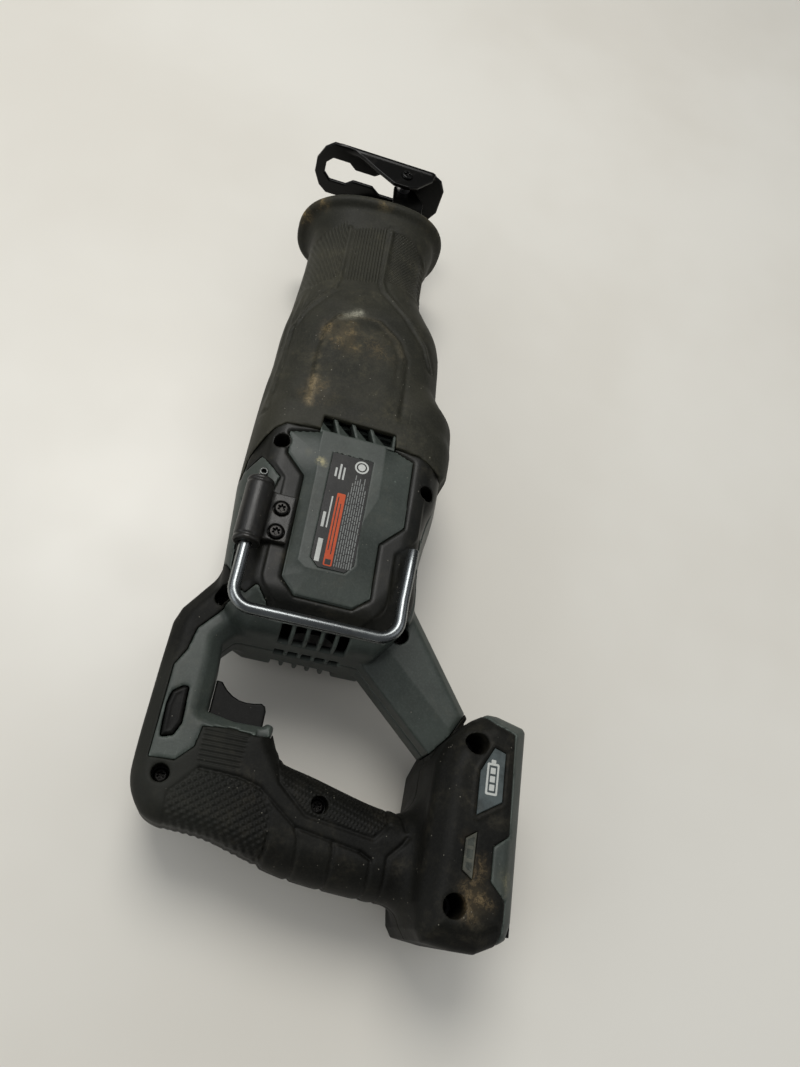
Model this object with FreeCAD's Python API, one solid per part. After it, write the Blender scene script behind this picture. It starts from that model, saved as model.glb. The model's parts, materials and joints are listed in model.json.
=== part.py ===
import FreeCAD, Part
import math
import os

# Cordless reciprocating saw, bare tool (no battery, no blade). Millimetres.
# Frame: +X forward along the blade, +Z up, +Y to the operator's left.
# Origin: centre of the battery rail mouth, on the underside of the foot.

V = FreeCAD.Vector
compound = Part.makeCompound
X, Y, Z = (1, 0, 0), (0, 1, 0), (0, 0, 1)
SIDES = (-1, 1)         # right (-Y), left (+Y)
os.makedirs("parts", exist_ok=True)

# ---------------------------------------------------------------- driving dimensions
WALL = 3.5              # housing wall
SKIN = 1.5              # rubber overmould thickness
BODY_W = 40.0           # half width of the motor body
HANDLE_W = 18.5         # half width of the D handle
STRUT_W = 19.0          # half width of the front strut
FOOT_W = 37.0           # half width of the battery foot
PANEL_W = 43.0          # half width over the raised side panels
STROKE = 28.6           # blade stroke
CRANK_R = STROKE / 2
BLADE_Z = 130.0         # height of the plunger axis
MOTOR_Z = 105.0         # height of the motor axis
CRANK_X = 196.0         # crank axis
PIN_X = CRANK_X - CRANK_R   # crank pin axis, and middle of the plunger yoke
GEAR_TEETH, PINION_TEETH, MODULE = 45, 9, 1.25
PLUNGER_R = 7.5
PLUNGER_BORE_R = PLUNGER_R + 0.05
PLUNGER_TIP = 330.0     # front end of the plunger
BUSH_R = 9.95
SHAFT_R = 4.0           # motor shaft and crank axle
SHAFT_BORE_R = SHAFT_R + 0.02
BEARING_R = 11.0
BEARING_SEAT_R = BEARING_R + 0.02
CRANK_PIN_R = 3.5
ROLLER_R = 4.6          # roller on the crank pin
STATOR_R = 29.2
POST_Y = 9.0            # half width of the shoe post
POST_Z0, POST_Z1 = 92.0, 111.0
SHOE_X = 398.0          # front face of the shoe
PIVOT_X, PIVOT_Z = 387.5, 107.0     # shoe pivot pin
PIVOT_BORE_R = 3.05
RELEASE_X, RELEASE_Z = 272, 101     # shoe release pin axis
LAMP_Y, LAMP_Z = 17.0, 94.5
WIRE_R = 2.8            # hanging hook wire radius
WIRE_BORE_R = WIRE_R + 0.08
HOOK_Y, HOOK_Z = -45.2, 146.5       # hook barrel axis
HOOK_SCREW_X, HOOK_SCREW_Z = (108.6, 120.8), 134.4

# Housing screws, driven from the right: X, Z, kind
UPPER_BODY_SCREW = (159.3, 142.0)
SCREWS = [(-1.3, 157.3, "handle"), (80.3, 150.5, "handle"), (-2.0, 88.0, "handle"),
          (85.5, 65.5, "strut"), (34.1, 25.0, "foot"), (-33.3, 28.0, "foot"),
          (*UPPER_BODY_SCREW, "body"), (151.5, 66.0, "body")]
# kind: half width spanned by the boss, y of the head seat, counterbore radius
SCREW_KINDS = {"handle": (HANDLE_W, -8.0, 4.0), "strut": (STRUT_W, -8.0, 4.0),
               "foot": (FOOT_W, -12.0, 5.2), "body": (34.5, -20.0, 4.0)}


# ---------------------------------------------------------------- helpers
def signed_area(outline):
    following = outline[1:] + outline[:1]
    return sum(p[0] * q[1] - q[0] * p[1] for p, q in zip(outline, following)) / 2


def offset(outline, distance):
    """Outline moved inwards by distance with mitred corners."""
    sign = 1 if signed_area(outline) > 0 else -1

    def normal(start, end):
        edge_x, edge_z = end[0] - start[0], end[1] - start[1]
        length = math.hypot(edge_x, edge_z)
        return -edge_z / length * sign, edge_x / length * sign

    moved = []
    for i, corner in enumerate(outline):
        n1 = normal(outline[i - 1], corner)
        n2 = normal(corner, outline[(i + 1) % len(outline)])
        mitre = 1 + n1[0] * n2[0] + n1[1] * n2[1]
        moved.append((corner[0] + distance * (n1[0] + n2[0]) / mitre,
                      corner[1] + distance * (n1[1] + n2[1]) / mitre))
    return moved


def face(points):
    return Part.Face(Part.makePolygon([V(*p) for p in points] + [V(*points[0])]))


def flat(outline, y):
    """Face of an XZ outline at y."""
    return face([(x, y, z) for x, z in outline])


def band(outline1, y1, outline2, y2):
    """Side faces between two matching XZ outlines."""
    faces = []
    for i in range(len(outline1)):
        j = (i + 1) % len(outline1)
        (ax, az), (bx, bz) = outline1[i], outline1[j]
        (cx, cz), (dx, dz) = outline2[j], outline2[i]
        faces.append(face([(ax, y1, az), (bx, y1, bz), (cx, y2, cz), (dx, y2, dz)]))
    return faces


def solid_of(faces):
    solid = Part.makeSolid(Part.makeShell(faces))
    if solid.Volume < 0:
        solid.reverse()
    return solid


def prism(outline, y0, y1):
    return flat(outline, y0).extrude(V(0, y1 - y0, 0))


def chamfer_prism(outline, half_width, chamfer):
    """XZ outline across the tool, with 45 degree edges on both sides."""
    inner = offset(outline, chamfer)
    edge_y = half_width - chamfer
    faces = [flat(inner, -half_width), flat(inner, half_width)]
    faces += band(outline, -edge_y, outline, edge_y)
    for s in SIDES:
        faces += band(outline, s * edge_y, inner, s * half_width)
    return solid_of(faces)


def box(x0, x1, y0, y1, z0, z1):
    return Part.makeBox(x1 - x0, y1 - y0, z1 - z0, V(x0, y0, z0))


def cyl(radius, start, axis, length):
    return Part.makeCylinder(radius, length, V(*start), V(*axis))


def tube(outer_r, inner_r, start, axis, length):
    before = [start[i] - axis[i] for i in range(3)]
    return cyl(outer_r, start, axis, length).cut(cyl(inner_r, before, axis, length + 2))


def fuse(parts):
    return parts[0].fuse(parts[1:]).removeSplitter()


def turned(shape, angle, axis_z):
    """Shape drawn about the X axis, turned and lifted to axis_z."""
    return shape.rotated(V(0, 0, 0), V(1, 0, 0), angle).translated(V(0, 0, axis_z))


def around(shape, count, axis_z):
    return [turned(shape, i * 360 / count, axis_z) for i in range(count)]


def loft(stations):
    """Solid through superellipse stations; columns as in the boot tables."""
    wires = []
    for x, z_low, z_high, half_width, exponent, lean in stations:
        middle, half_height = (z_low + z_high) / 2, (z_high - z_low) / 2
        points = []
        for i in range(32):
            angle = 2 * math.pi * i / 32
            c, s = math.cos(angle), math.sin(angle)
            y = half_width * math.copysign(abs(c) ** (2 / exponent), c)
            z = half_height * math.copysign(abs(s) ** (2 / exponent), s)
            points.append(V(x - lean * z / 45.0, y, middle + z))
        curve = Part.BSplineCurve()
        curve.interpolate(Points=points, PeriodicFlag=True)
        wires.append(Part.Wire(curve.toShape()))
    return Part.makeLoft(wires, True, True)


def largest_solid(shape):
    return max(shape.Solids, key=lambda solid: solid.Volume)


def without_slivers(shape):
    kept = [solid for solid in shape.Solids if solid.Volume > 60.0]
    return kept[0] if len(kept) == 1 else compound(kept)


def refined(shape):
    return shape.removeSplitter() if len(shape.Solids) == 1 else shape


def export(name, shape):
    shape.exportStep(f"parts/{name}.step")


def add(name, shape):
    export(name, refined(shape))


# ---------------------------------------------------------------- housing outlines (X, Z)
BODY = [(66, 76), (66, 138), (78, 154), (140, 158.5), (240, 158.5), (240, 52.5),
        (150, 53.5), (98, 57.5), (84, 62)]
HANDLE = [(108, 150), (70, 170.5), (-6, 170.5), (-17, 163), (-22, 140), (-33, 92), (-36, 53),
          (-37, 30), (8, 30), (2.2, 50), (14.5, 107), (26, 118), (26, 140), (34, 146.5),
          (60, 146.5), (76, 134), (108, 134)]
STRUT = [(104, 59.5), (50.5, 23), (25.5, 35.5), (62.5, 77.5), (80, 92)]
FOOT = [(-40, 0), (46, 0), (50.3, 16), (44, 32), (34, 40), (-42, 41), (-50, 34), (-50, 13)]
PANEL = [(165.2, 139), (169, 124.4), (169, 86.6), (165.2, 76), (128.2, 75.5), (116.8, 86.1),
         (88.1, 85.8), (81.8, 92.9), (82.2, 119.9), (89.5, 126.8), (143.2, 127.4), (153.5, 137.4)]
# seam between the rubber boot (front) and the housing (rear)
SEAM = [(140, 175), (140, 157.2), (152, 155.5), (161, 150.8), (166.5, 147), (170, 142),
        (170.8, 124.7), (178.6, 124.5), (178.2, 87), (171, 86), (168.6, 68.5), (159.5, 59.2),
        (155, 40)]
# rubber of the handle, strut and foot
GRIP_REGION = [(88, 175), (88, 146.5), (77.5, 147), (63, 158.7), (53, 159.6), (45, 163.7),
               (4.2, 163.9), (5.3, 152.4), (11.5, 145.8), (21, 145), (22.6, 132), (21.3, 121.8),
               (24, 115.5), (40, 114), (40, 60), (24.8, 44.6), (38.9, 33.2), (53.5, 25.2),
               (56, 22), (48, 21.4), (44.2, 16.3), (41.4, 7.7), (-2.2, 5.9), (-7.9, 13.5),
               (-22.8, 13.2), (-28.5, 5.9), (-44, 6.3), (-60, 8), (-60, 175)]
# rubber round the side panels
SIDE_REGION = [(75, 62), (75, 130), (80, 136), (86, 148.5), (150, 152), (190, 140), (190, 60),
               (150, 58), (100, 58)]
LOCK = [(36.4, 157.4), (36.4, 155.2), (20.5, 154.3), (15.0, 156.6), (13.5, 161.4),
        (27.2, 162.4), (33.2, 161.4)]
INDICATOR = [(-3.2, 21.6), (-22.5, 21.9), (-19.3, 26.6), (-6.5, 26.5)]
BADGE = [(32.7, 17.1), (31.8, 11.5), (10.9, 11.2), (3.8, 22.6), (23.3, 22.9)]
LABEL = [(158, 116.5), (158, 96), (96.6, 96), (96.6, 116.3)]
GEAR_CASE = [(163, 74), (163, 145), (238, 145), (238, 74)]


# ---------------------------------------------------------------- outer form
def strut_body(inset_by):
    """The strut, with a wide slope on each side towards the hand opening."""
    body = chamfer_prism(offset(STRUT, inset_by), STRUT_W - inset_by, 5)
    for s in SIDES:
        normal = V(-0.3915, 0.8499 * s, 0.3531)
        along = V(0.670, 0, 0.743)
        across = normal.cross(along)
        origin = V(26, 10.8 * s, 36) - normal * inset_by
        corners = [origin + along * a + across * b
                   for a, b in ((-70, -60), (120, -60), (120, 60), (-70, 60))]
        body = body.cut(face([tuple(p) for p in corners]).extrude(normal * 50))
    return body


def outer_form(inset_by):
    return fuse([chamfer_prism(offset(BODY, inset_by), BODY_W - inset_by, 15),
                 chamfer_prism(offset(HANDLE, inset_by), HANDLE_W - inset_by, 7),
                 strut_body(inset_by),
                 chamfer_prism(offset(FOOT, inset_by), FOOT_W - inset_by, 5)])


def side_panel(s):
    """Raised panel with sloping edges, rooted 2 mm into the body side."""
    top = offset(PANEL, 3.0)
    root_y = BODY_W - 2.0
    return solid_of([flat(PANEL, s * root_y), flat(top, s * PANEL_W)]
                    + band(PANEL, s * root_y, PANEL, s * BODY_W)
                    + band(PANEL, s * BODY_W, top, s * PANEL_W))


front_side = prism(SEAM + [(400, 40), (400, 175)], -60, 60)
full = outer_form(0).cut(front_side)
inset = outer_form(SKIN)
cavity = outer_form(WALL)
panels = fuse([side_panel(s) for s in SIDES]).cut(front_side)
full_with_panels = full.fuse(panels)

# ---------------------------------------------------------------- rubber overmoulds
skin = full.cut(inset)
grip_skin = skin.common(prism(GRIP_REGION, -60, 60))
side_zone = prism(SIDE_REGION, -60, -26).fuse(prism(SIDE_REGION, 26, 60))
side_zone = side_zone.cut(prism(offset(PANEL, -0.2), -60, 60))
side_zone = side_zone.cut(prism([(165, 87), (165, 124.5), (190, 124.5), (190, 86.5)], -60, 60))
side_skin = skin.common(side_zone)

# ---------------------------------------------------------------- shell, air slots and ribs
shell = full.cut(grip_skin).cut(side_skin).fuse(panels).cut(cavity)
# air outlet: four slots on each side between the panel and the boot
outlets = [box(170.8, 177.9, s * 39.0 - 8, s * 39.0 + 8, 88.5 + i * 9.2, 95.5 + i * 9.2)
           for i in range(4) for s in SIDES]
# air inlet: five slots over each rear corner of the motor body
inlets = [box(60, 76.5, s * 20 - 6, s * 20 + 6, 89.5 + i * 6.8, 94.1 + i * 6.8)
          for i in range(5) for s in SIDES]
shell = shell.cut(fuse(outlets + inlets))

body_cavity = chamfer_prism(offset(BODY, WALL - 0.2), BODY_W - WALL + 0.2, 15)
# round-bored ribs, two at the stator and one at the rear bearing: x0, x1, bore radius
RIBS = [(101, 104, STATOR_R + 0.05), (131, 134, STATOR_R + 0.05), (74.5, 81.5, BEARING_SEAT_R)]
ribs = []
for x0, x1, bore_r in RIBS:
    slab = body_cavity.common(box(x0, x1, -60, 60, 50, 160))
    ribs.append(slab.cut(cyl(bore_r, (x0 - 1, 0, MOTOR_Z), X, x1 - x0 + 2)))
# the front rib fits round the gear case
ribs.append(body_cavity.common(box(163.6, 166.8, -60, 60, 50, 160)).cut(
    chamfer_prism(offset(GEAR_CASE, -0.05), 31.05, 12)))
shell = shell.fuse(ribs)
shell = shell.cut(fuse(inlets))
# wiring window through the rear rib
shell = shell.cut(box(70, 83, -9, 9, 128, 158))

# ---------------------------------------------------------------- screw bosses, battery pocket
bosses, drills = [], []
for x, z, kind in SCREWS:
    half_width, seat_y, counterbore_r = SCREW_KINDS[kind]
    reach = half_width - 1.7
    bosses.append(cyl(counterbore_r + 1.6, (x, -reach, z), Y, reach - 0.05))
    bosses.append(cyl(4.2, (x, 0.05, z), Y, reach - 0.05))
    drills.append(cyl(counterbore_r, (x, -60, z), Y, 60 + seat_y))
    drills.append(cyl(2.1, (x, seat_y - 1, z), Y, 1 - seat_y))
    drills.append(cyl(1.65, (x, 0, z), Y, 14))
bosses = fuse(bosses).common(inset)
pocket = box(-52, 38, -27, 27, -1, 14)
pocket_shell = box(-50, 41, -30, 30, 0, 17).common(inset)
shell = shell.fuse([bosses, pocket_shell]).cut(fuse(drills + [pocket]))
grip_skin = grip_skin.cut(fuse(drills + [pocket]))
side_skin = side_skin.cut(fuse(drills))

# ---------------------------------------------------------------- openings and hook screw holes
# trigger opening, then lock button opening
handle_holes = [box(14, 40, -8.4, 8.4, 118.4, 144.6), prism(offset(LOCK, -0.35), -40, 40)]
foot_recesses = [prism(p, -FOOT_W - 1, -FOOT_W + 0.9) for p in (INDICATOR, BADGE)]
foot_recesses.append(prism(BADGE, FOOT_W - 0.9, FOOT_W + 1))
shell = shell.cut(fuse(handle_holes))
grip_skin = grip_skin.cut(fuse(handle_holes + foot_recesses))
shell = shell.cut(prism(LABEL, -PANEL_W - 1, -PANEL_W + 0.4))
hook_holes = fuse([cyl(1.6, (x, -BODY_W - 1, HOOK_SCREW_Z), Y, 16) for x in HOOK_SCREW_X])
hook_bosses = [cyl(4.0, (x, -BODY_W + 1.7, HOOK_SCREW_Z), Y, 12).common(inset)
               for x in HOOK_SCREW_X]
shell = shell.fuse(hook_bosses).cut(hook_holes)
shell = shell.cut(front_side)
side_skin = side_skin.cut(hook_holes).cut(shell)
grip_skin = grip_skin.cut(side_zone).cut(shell)

# ---------------------------------------------------------------- left and right halves
parting_gap = box(-100, 420, -0.02, 0.02, -20, 200)
for side, y0, y1 in (("right", -80, 0), ("left", 0, 80)):
    half = box(-100, 420, y0, y1, -20, 200)
    add("housing_" + side, largest_solid(shell.cut(parting_gap).common(half)))
    add("grip_overmould_" + side, without_slivers(grip_skin.cut(parting_gap).common(half)))
    add("side_overmould_" + side, without_slivers(side_skin.common(half)))

# ---------------------------------------------------------------- label, indicator and badges
WINDOW_X = (-9.0, -14.4, -19.4)     # rear edge of each indicator window
add("rating_label", prism(offset(LABEL, 0.15), -PANEL_W - 0.05, -PANEL_W + 0.38))
add("indicator_bezel", prism(offset(INDICATOR, 0.1), -FOOT_W - 0.3, -FOOT_W + 0.85).cut(
    fuse([box(x, x + 3.4, -FOOT_W - 1, -FOOT_W + 0.3, 22.9, 25.5) for x in WINDOW_X])))
add("indicator_windows", compound([
    box(x + 0.1, x + 3.3, -FOOT_W - 0.15, -FOOT_W + 0.28, 23.0, 25.4) for x in WINDOW_X]))
badge = offset(BADGE, 0.1)
add("voltage_badges", compound([prism(badge, -FOOT_W - 0.3, -FOOT_W + 0.85),
                                prism(badge, FOOT_W - 0.85, FOOT_W + 0.3)]))


# ---------------------------------------------------------------- housing screws
def housing_screw(x, z, seat_y):
    """Round head with a cross recess, and a plain shank."""
    screw = cyl(3.3, (x, seat_y - 2.4, z), Y, 2.4).fuse(
        cyl(1.6, (x, seat_y - 0.1, z), Y, -seat_y + 12))
    cross = box(x - 0.9, x + 0.9, seat_y - 3, seat_y, z - 3, z + 3).fuse(
        box(x - 3, x + 3, seat_y - 3, seat_y, z - 0.9, z + 0.9))
    return screw.cut(cyl(1.5, (x, seat_y - 2.5, z), Y, 1.4).common(cross))


add("housing_screws", compound([housing_screw(x, z, SCREW_KINDS[kind][1])
                                for x, z, kind in SCREWS]))

# ---------------------------------------------------------------- rubber boot, finger flange
# X, Z low, Z high, half width, corner exponent, lean (rearward shift per 45 mm of height)
BOOT = [(140, 53.5, 158.8, 41.0, 4.0, 0), (182, 52.2, 158.8, 41.5, 4.0, 0),
        (205, 54.4, 158.4, 40.5, 3.6, 0), (220, 64.5, 157.6, 39.5, 3.4, 0),
        (248, 65.3, 157.8, 37.5, 3.2, 0), (264, 69.0, 156.4, 33.5, 3.0, 0),
        (283, 80.6, 155.4, 30.0, 2.8, 0), (326, 81.0, 155.6, 29.5, 2.7, 2.0),
        (337, 77.5, 163.0, 33.0, 2.6, 4.0)]
FLANGE = [(334.5, 76.5, 164.0, 33.8, 2.5, 4.5), (338.0, 75.0, 165.6, 35.6, 2.5, 4.5),
          (344.0, 75.2, 165.4, 35.4, 2.5, 4.5), (347.0, 78.0, 162.8, 32.6, 2.5, 4.5)]
BOOT_INSIDE = [(130, 56.6, 155.6, 37.8, 4.0, 0), (205, 58.4, 154.6, 36.8, 3.6, 0),
               (220, 68.4, 154.0, 35.8, 3.4, 0), (248, 69.2, 154.0, 33.8, 3.2, 0),
               (264, 73.0, 152.6, 30.0, 3.0, 0), (283, 84.4, 151.6, 26.4, 2.8, 0),
               (326, 84.8, 151.8, 26.0, 2.7, 2.0), (355, 84.8, 153.4, 26.6, 2.6, 4.5)]
boot = loft(BOOT).fuse(loft(FLANGE)).cut(loft(BOOT_INSIDE))
boot = boot.common(front_side.cut(
    prism([(170.5, 125), (178.1, 124.5), (178.1, 86.5), (171, 85)], -60, 60)))
# the boot butts against the housing front edge and never overlaps it
boot = refined(largest_solid(boot.cut(full_with_panels)))
release_hole = cyl(6.25, (RELEASE_X, 25.4, RELEASE_Z), Y, 26.0)
export("nose_boot", largest_solid(boot.cut(release_hole)))

# ---------------------------------------------------------------- gear case
LID_SEAT_Z = 142.0
CRANK_BEARING_Z = 76.6
LID_SCREWS = [(171, -20), (171, 20), (228, -20), (228, 20)]     # X, Y
case_block = chamfer_prism(GEAR_CASE, 31.0, 12)
nose = chamfer_prism([(236, 87.5), (236, 148), (302, 148), (302, 87.5)], 22.5, 10)
case = case_block.fuse([nose, cyl(14.0, (151.4, 0, MOTOR_Z), X, 16)])
case = case.cut(chamfer_prism([(167, 79), (167, 141), (232, 141), (232, 79)], 28.8, 8))
case = case.cut(cyl(BEARING_SEAT_R, (150, 0, MOTOR_Z), X, 8.0))     # front motor bearing seat
case = case.cut(cyl(7.5, (150, 0, MOTOR_Z), X, 20))
case = case.cut(cyl(10.0, (230, 0, BLADE_Z), X, 74))                # plunger bore
case = case.cut(box(243.5, 304, -POST_Y - 0.3, POST_Y + 0.3,        # shoe post guide
                    POST_Z0 - 0.3, POST_Z1 + 0.3))
case = case.cut(cyl(BEARING_SEAT_R, (CRANK_X, 0, 76.5), Z, 6))      # crank bearing seat
case = case.cut(cyl(1.3, (CRANK_X, 0, 70), Z, 8))
case = case.cut(cyl(3.05, (RELEASE_X, 8, RELEASE_Z), Y, 18))        # release pin bore
for s in SIDES:
    case = case.cut(cyl(3.1, (290, s * LAMP_Y, LAMP_Z), X, 14))     # lamp pockets
case = case.cut(box(165.0, 234.5, -30, 30, LID_SEAT_Z, 150))
case = case.fuse([cyl(3.6, (x, y, 136.8), Z, 5.2).common(box(165, 235, -30, 30, 110, LID_SEAT_Z))
                  for x, y in LID_SCREWS])
# clears the upper housing screw of the body
screw_notch = cyl(6.2, (UPPER_BODY_SCREW[0], -40, UPPER_BODY_SCREW[1]), Y, 80)
case = case.cut(fuse([cyl(1.55, (x, y, 137.4), Z, 10) for x, y in LID_SCREWS] + [screw_notch]))
add("gear_case", largest_solid(case))

lid = box(165.1, 234.4, -24.0, 24.0, LID_SEAT_Z + 0.05, 145.0).common(case_block)
lid = lid.cut(fuse([cyl(1.8, (x, y, 140), Z, 10) for x, y in LID_SCREWS] + [screw_notch]))
add("gear_case_lid", largest_solid(lid))
add("lid_screws", compound([cyl(1.5, (x, y, 137.6), Z, 7.5).fuse(cyl(2.9, (x, y, 145.05), Z, 2.2))
                            for x, y in LID_SCREWS]))

# ---------------------------------------------------------------- bushes, seal and lamps
add("rear_plunger_bush", tube(BUSH_R, PLUNGER_BORE_R, (240, 0, BLADE_Z), X, 12))
add("front_plunger_bush", tube(BUSH_R, PLUNGER_BORE_R, (282, 0, BLADE_Z), X, 14))
add("plunger_seal", tube(BUSH_R, PLUNGER_R + 0.06, (296.5, 0, BLADE_Z), X, 4.5))
for name, x, length in (("lamp_lenses", 297, 5.6), ("lamp_boards", 291, 5.5)):
    add(name, compound([cyl(3.0, (x, s * LAMP_Y, LAMP_Z), X, length) for s in SIDES]))

# ---------------------------------------------------------------- motor
STATOR_X, STATOR_LENGTH = 98, 40
FAN_X = 144.5
stator = tube(STATOR_R, 16.6, (STATOR_X, 0, MOTOR_Z), X, STATOR_LENGTH)
stator = stator.fuse(around(
    box(STATOR_X, STATOR_X + STATOR_LENGTH, -2.6, 2.6, 16.3, 24.3), 6, MOTOR_Z))
add("stator", stator.cut(cyl(15.0, (90, 0, MOTOR_Z), X, 60)))
add("stator_windings", compound(around(box(93.5, 97.9, -4.0, 4.0, 18, 27), 6, MOTOR_Z)
                                + around(box(138.1, 142.5, -4.0, 4.0, 18, 27), 6, MOTOR_Z)))
add("rotor_core", tube(14.3, SHAFT_BORE_R, (99, 0, MOTOR_Z), X, 38))
add("motor_shaft", cyl(SHAFT_R, (75, 0, MOTOR_Z), X, 83.0).fuse(
    cyl(2.0, (157, 0, MOTOR_Z), X, 17.0)))
# fan: hub, nine blades and a disc at their rear
fan = tube(8.0, SHAFT_BORE_R, (FAN_X, 0, MOTOR_Z), X, 5.0)
fan = fan.fuse(around(box(FAN_X, FAN_X + 5.0, -0.9, 0.9, 6.5, 26.5), 9, MOTOR_Z))
fan = fan.fuse(tube(26.5, 7.5, (FAN_X, 0, MOTOR_Z), X, 1.2))
add("cooling_fan", largest_solid(fan.cut(cyl(SHAFT_BORE_R, (140, 0, MOTOR_Z), X, 20))))
# every bearing is a plain ring
add("rear_motor_bearing", tube(BEARING_R, SHAFT_BORE_R, (75, 0, MOTOR_Z), X, 6.0))
add("front_motor_bearing", tube(BEARING_R, SHAFT_BORE_R, (151.6, 0, MOTOR_Z), X, 6.2))

# ---------------------------------------------------------------- bevel gears
# The cone apex is on the crank axis at motor height. The gear's axis is +Z, its teeth facing
# down towards the motor axis; the pinion's axis is -X. Angles in degrees.
APEX = V(CRANK_X, 0, MOTOR_Z)
GEAR_CONE = math.degrees(math.atan2(GEAR_TEETH, PINION_TEETH))
PINION_CONE = 90 - GEAR_CONE
CONE_OUTER = MODULE * GEAR_TEETH / 2 / math.sin(math.radians(GEAR_CONE))
CONE_INNER = CONE_OUTER - 7.5
ADDENDUM, DEDENDUM = 1.9, 2.9
FORWARD, LEFT, UP = V(*X), V(*Y), V(*Z)
GEAR_TOP = MOTOR_Z + 12.5


def cone_place(distance, cone_angle):
    """Radius from the axis and distance along it, from the apex."""
    angle = math.radians(cone_angle)
    return distance * math.sin(angle), distance * math.cos(angle)


def tooth(axis, start, side, root, tip, root_half, tip_half, turn):
    """Tapered tooth; turn is measured about the axis from start towards side."""
    corner = {}
    for i, distance in enumerate((CONE_INNER, CONE_OUTER)):
        for j, (cone_angle, half_angle) in enumerate(((root, root_half), (tip, tip_half))):
            radius, along = cone_place(distance, cone_angle)
            for k, s in enumerate(SIDES):
                phi = math.radians(turn + s * half_angle)
                radial = start * math.cos(phi) + side * math.sin(phi)
                corner[i, j, k] = APEX + axis * along + radial * radius
    quads = [[(0, 0, 0), (0, 0, 1), (0, 1, 1), (0, 1, 0)],
             [(1, 0, 0), (1, 0, 1), (1, 1, 1), (1, 1, 0)],
             [(0, 0, 0), (0, 0, 1), (1, 0, 1), (1, 0, 0)],
             [(0, 1, 0), (0, 1, 1), (1, 1, 1), (1, 1, 0)],
             [(0, 0, 0), (0, 1, 0), (1, 1, 0), (1, 0, 0)],
             [(0, 0, 1), (0, 1, 1), (1, 1, 1), (1, 0, 1)]]
    return solid_of([face([tuple(corner[c]) for c in quad]) for quad in quads])


# At rest a gear gap and a pinion tooth lie in the plane of the two axes.
gear_root = GEAR_CONE - DEDENDUM
inner_r, inner_z = cone_place(CONE_INNER, gear_root)
outer_r, outer_z = cone_place(CONE_OUTER, gear_root)
inner_z, outer_z = MOTOR_Z + inner_z, MOTOR_Z + outer_z
profile = [(SHAFT_BORE_R, 0, inner_z + 2.0), (inner_r - 1.5, 0, inner_z + 2.0),
           (inner_r - 0.5, 0, inner_z), (inner_r, 0, inner_z), (outer_r, 0, outer_z),
           (outer_r + 0.3, 0, outer_z + 0.2), (outer_r + 0.3, 0, GEAR_TOP),
           (SHAFT_BORE_R, 0, GEAR_TOP)]
gear = face(profile).revolve(V(0, 0, 0), UP, 360).translated(V(CRANK_X, 0, 0))
half_pitch = 180.0 / GEAR_TEETH
teeth = [tooth(UP, FORWARD * -1, LEFT, gear_root - 0.8, GEAR_CONE + ADDENDUM,
               0.56 * half_pitch, 0.26 * half_pitch, (i + 0.5) * 2 * half_pitch)
         for i in range(GEAR_TEETH)]
for i in range(0, GEAR_TEETH, 15):
    gear = gear.fuse(teeth[i:i + 15])
gear = gear.fuse(cyl(8.0, (CRANK_X, 0, MOTOR_Z + 5.0), Z, 7.6))     # hub
gear = gear.cut(cyl(SHAFT_BORE_R, (CRANK_X, 0, 80), Z, 60))
gear = gear.cut(fuse([cyl(4.2, (CRANK_X + 13 * math.cos(a), 13 * math.sin(a), 100), Z, 30)
                      for a in (math.radians(70), math.radians(-70))]))
gear = gear.cut(cyl(CRANK_PIN_R + 0.02, (PIN_X, 0, 100), Z, 40))
add("bevel_gear", largest_solid(gear))

pinion_root = PINION_CONE - DEDENDUM
inner_r, inner_reach = cone_place(CONE_INNER, pinion_root)
outer_r, outer_reach = cone_place(CONE_OUTER, pinion_root)
inner_x, outer_x = CRANK_X - inner_reach, CRANK_X - outer_reach
pinion = Part.makeCone(outer_r, inner_r, inner_x - outer_x, V(outer_x, 0, MOTOR_Z), V(*X))
pinion = pinion.fuse(cyl(outer_r, (158.4, 0, MOTOR_Z), X, outer_x - 158.4 + 0.2))
half_pitch = 180.0 / PINION_TEETH
pinion = pinion.fuse([tooth(FORWARD * -1, UP, LEFT, pinion_root - 1.2, PINION_CONE + ADDENDUM,
                            0.62 * half_pitch, 0.25 * half_pitch, i * 2 * half_pitch)
                      for i in range(PINION_TEETH)])
add("bevel_pinion", largest_solid(pinion.cut(cyl(2.02, (150, 0, MOTOR_Z), X, 40))))

# ---------------------------------------------------------------- crank
crank_foot = (CRANK_X, 0, CRANK_BEARING_Z)
add("crank_axle", cyl(SHAFT_R, crank_foot, Z, GEAR_TOP - CRANK_BEARING_Z))
add("crank_bearing", tube(BEARING_R, SHAFT_BORE_R, crank_foot, Z, 5.8))
pin_z0 = MOTOR_Z + 5.5
add("crank_pin", cyl(CRANK_PIN_R, (PIN_X, 0, pin_z0), Z, 138.0 - pin_z0))
add("crank_roller", tube(ROLLER_R, CRANK_PIN_R + 0.03, (PIN_X, 0, 121.5), Z, 14.5))

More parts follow.
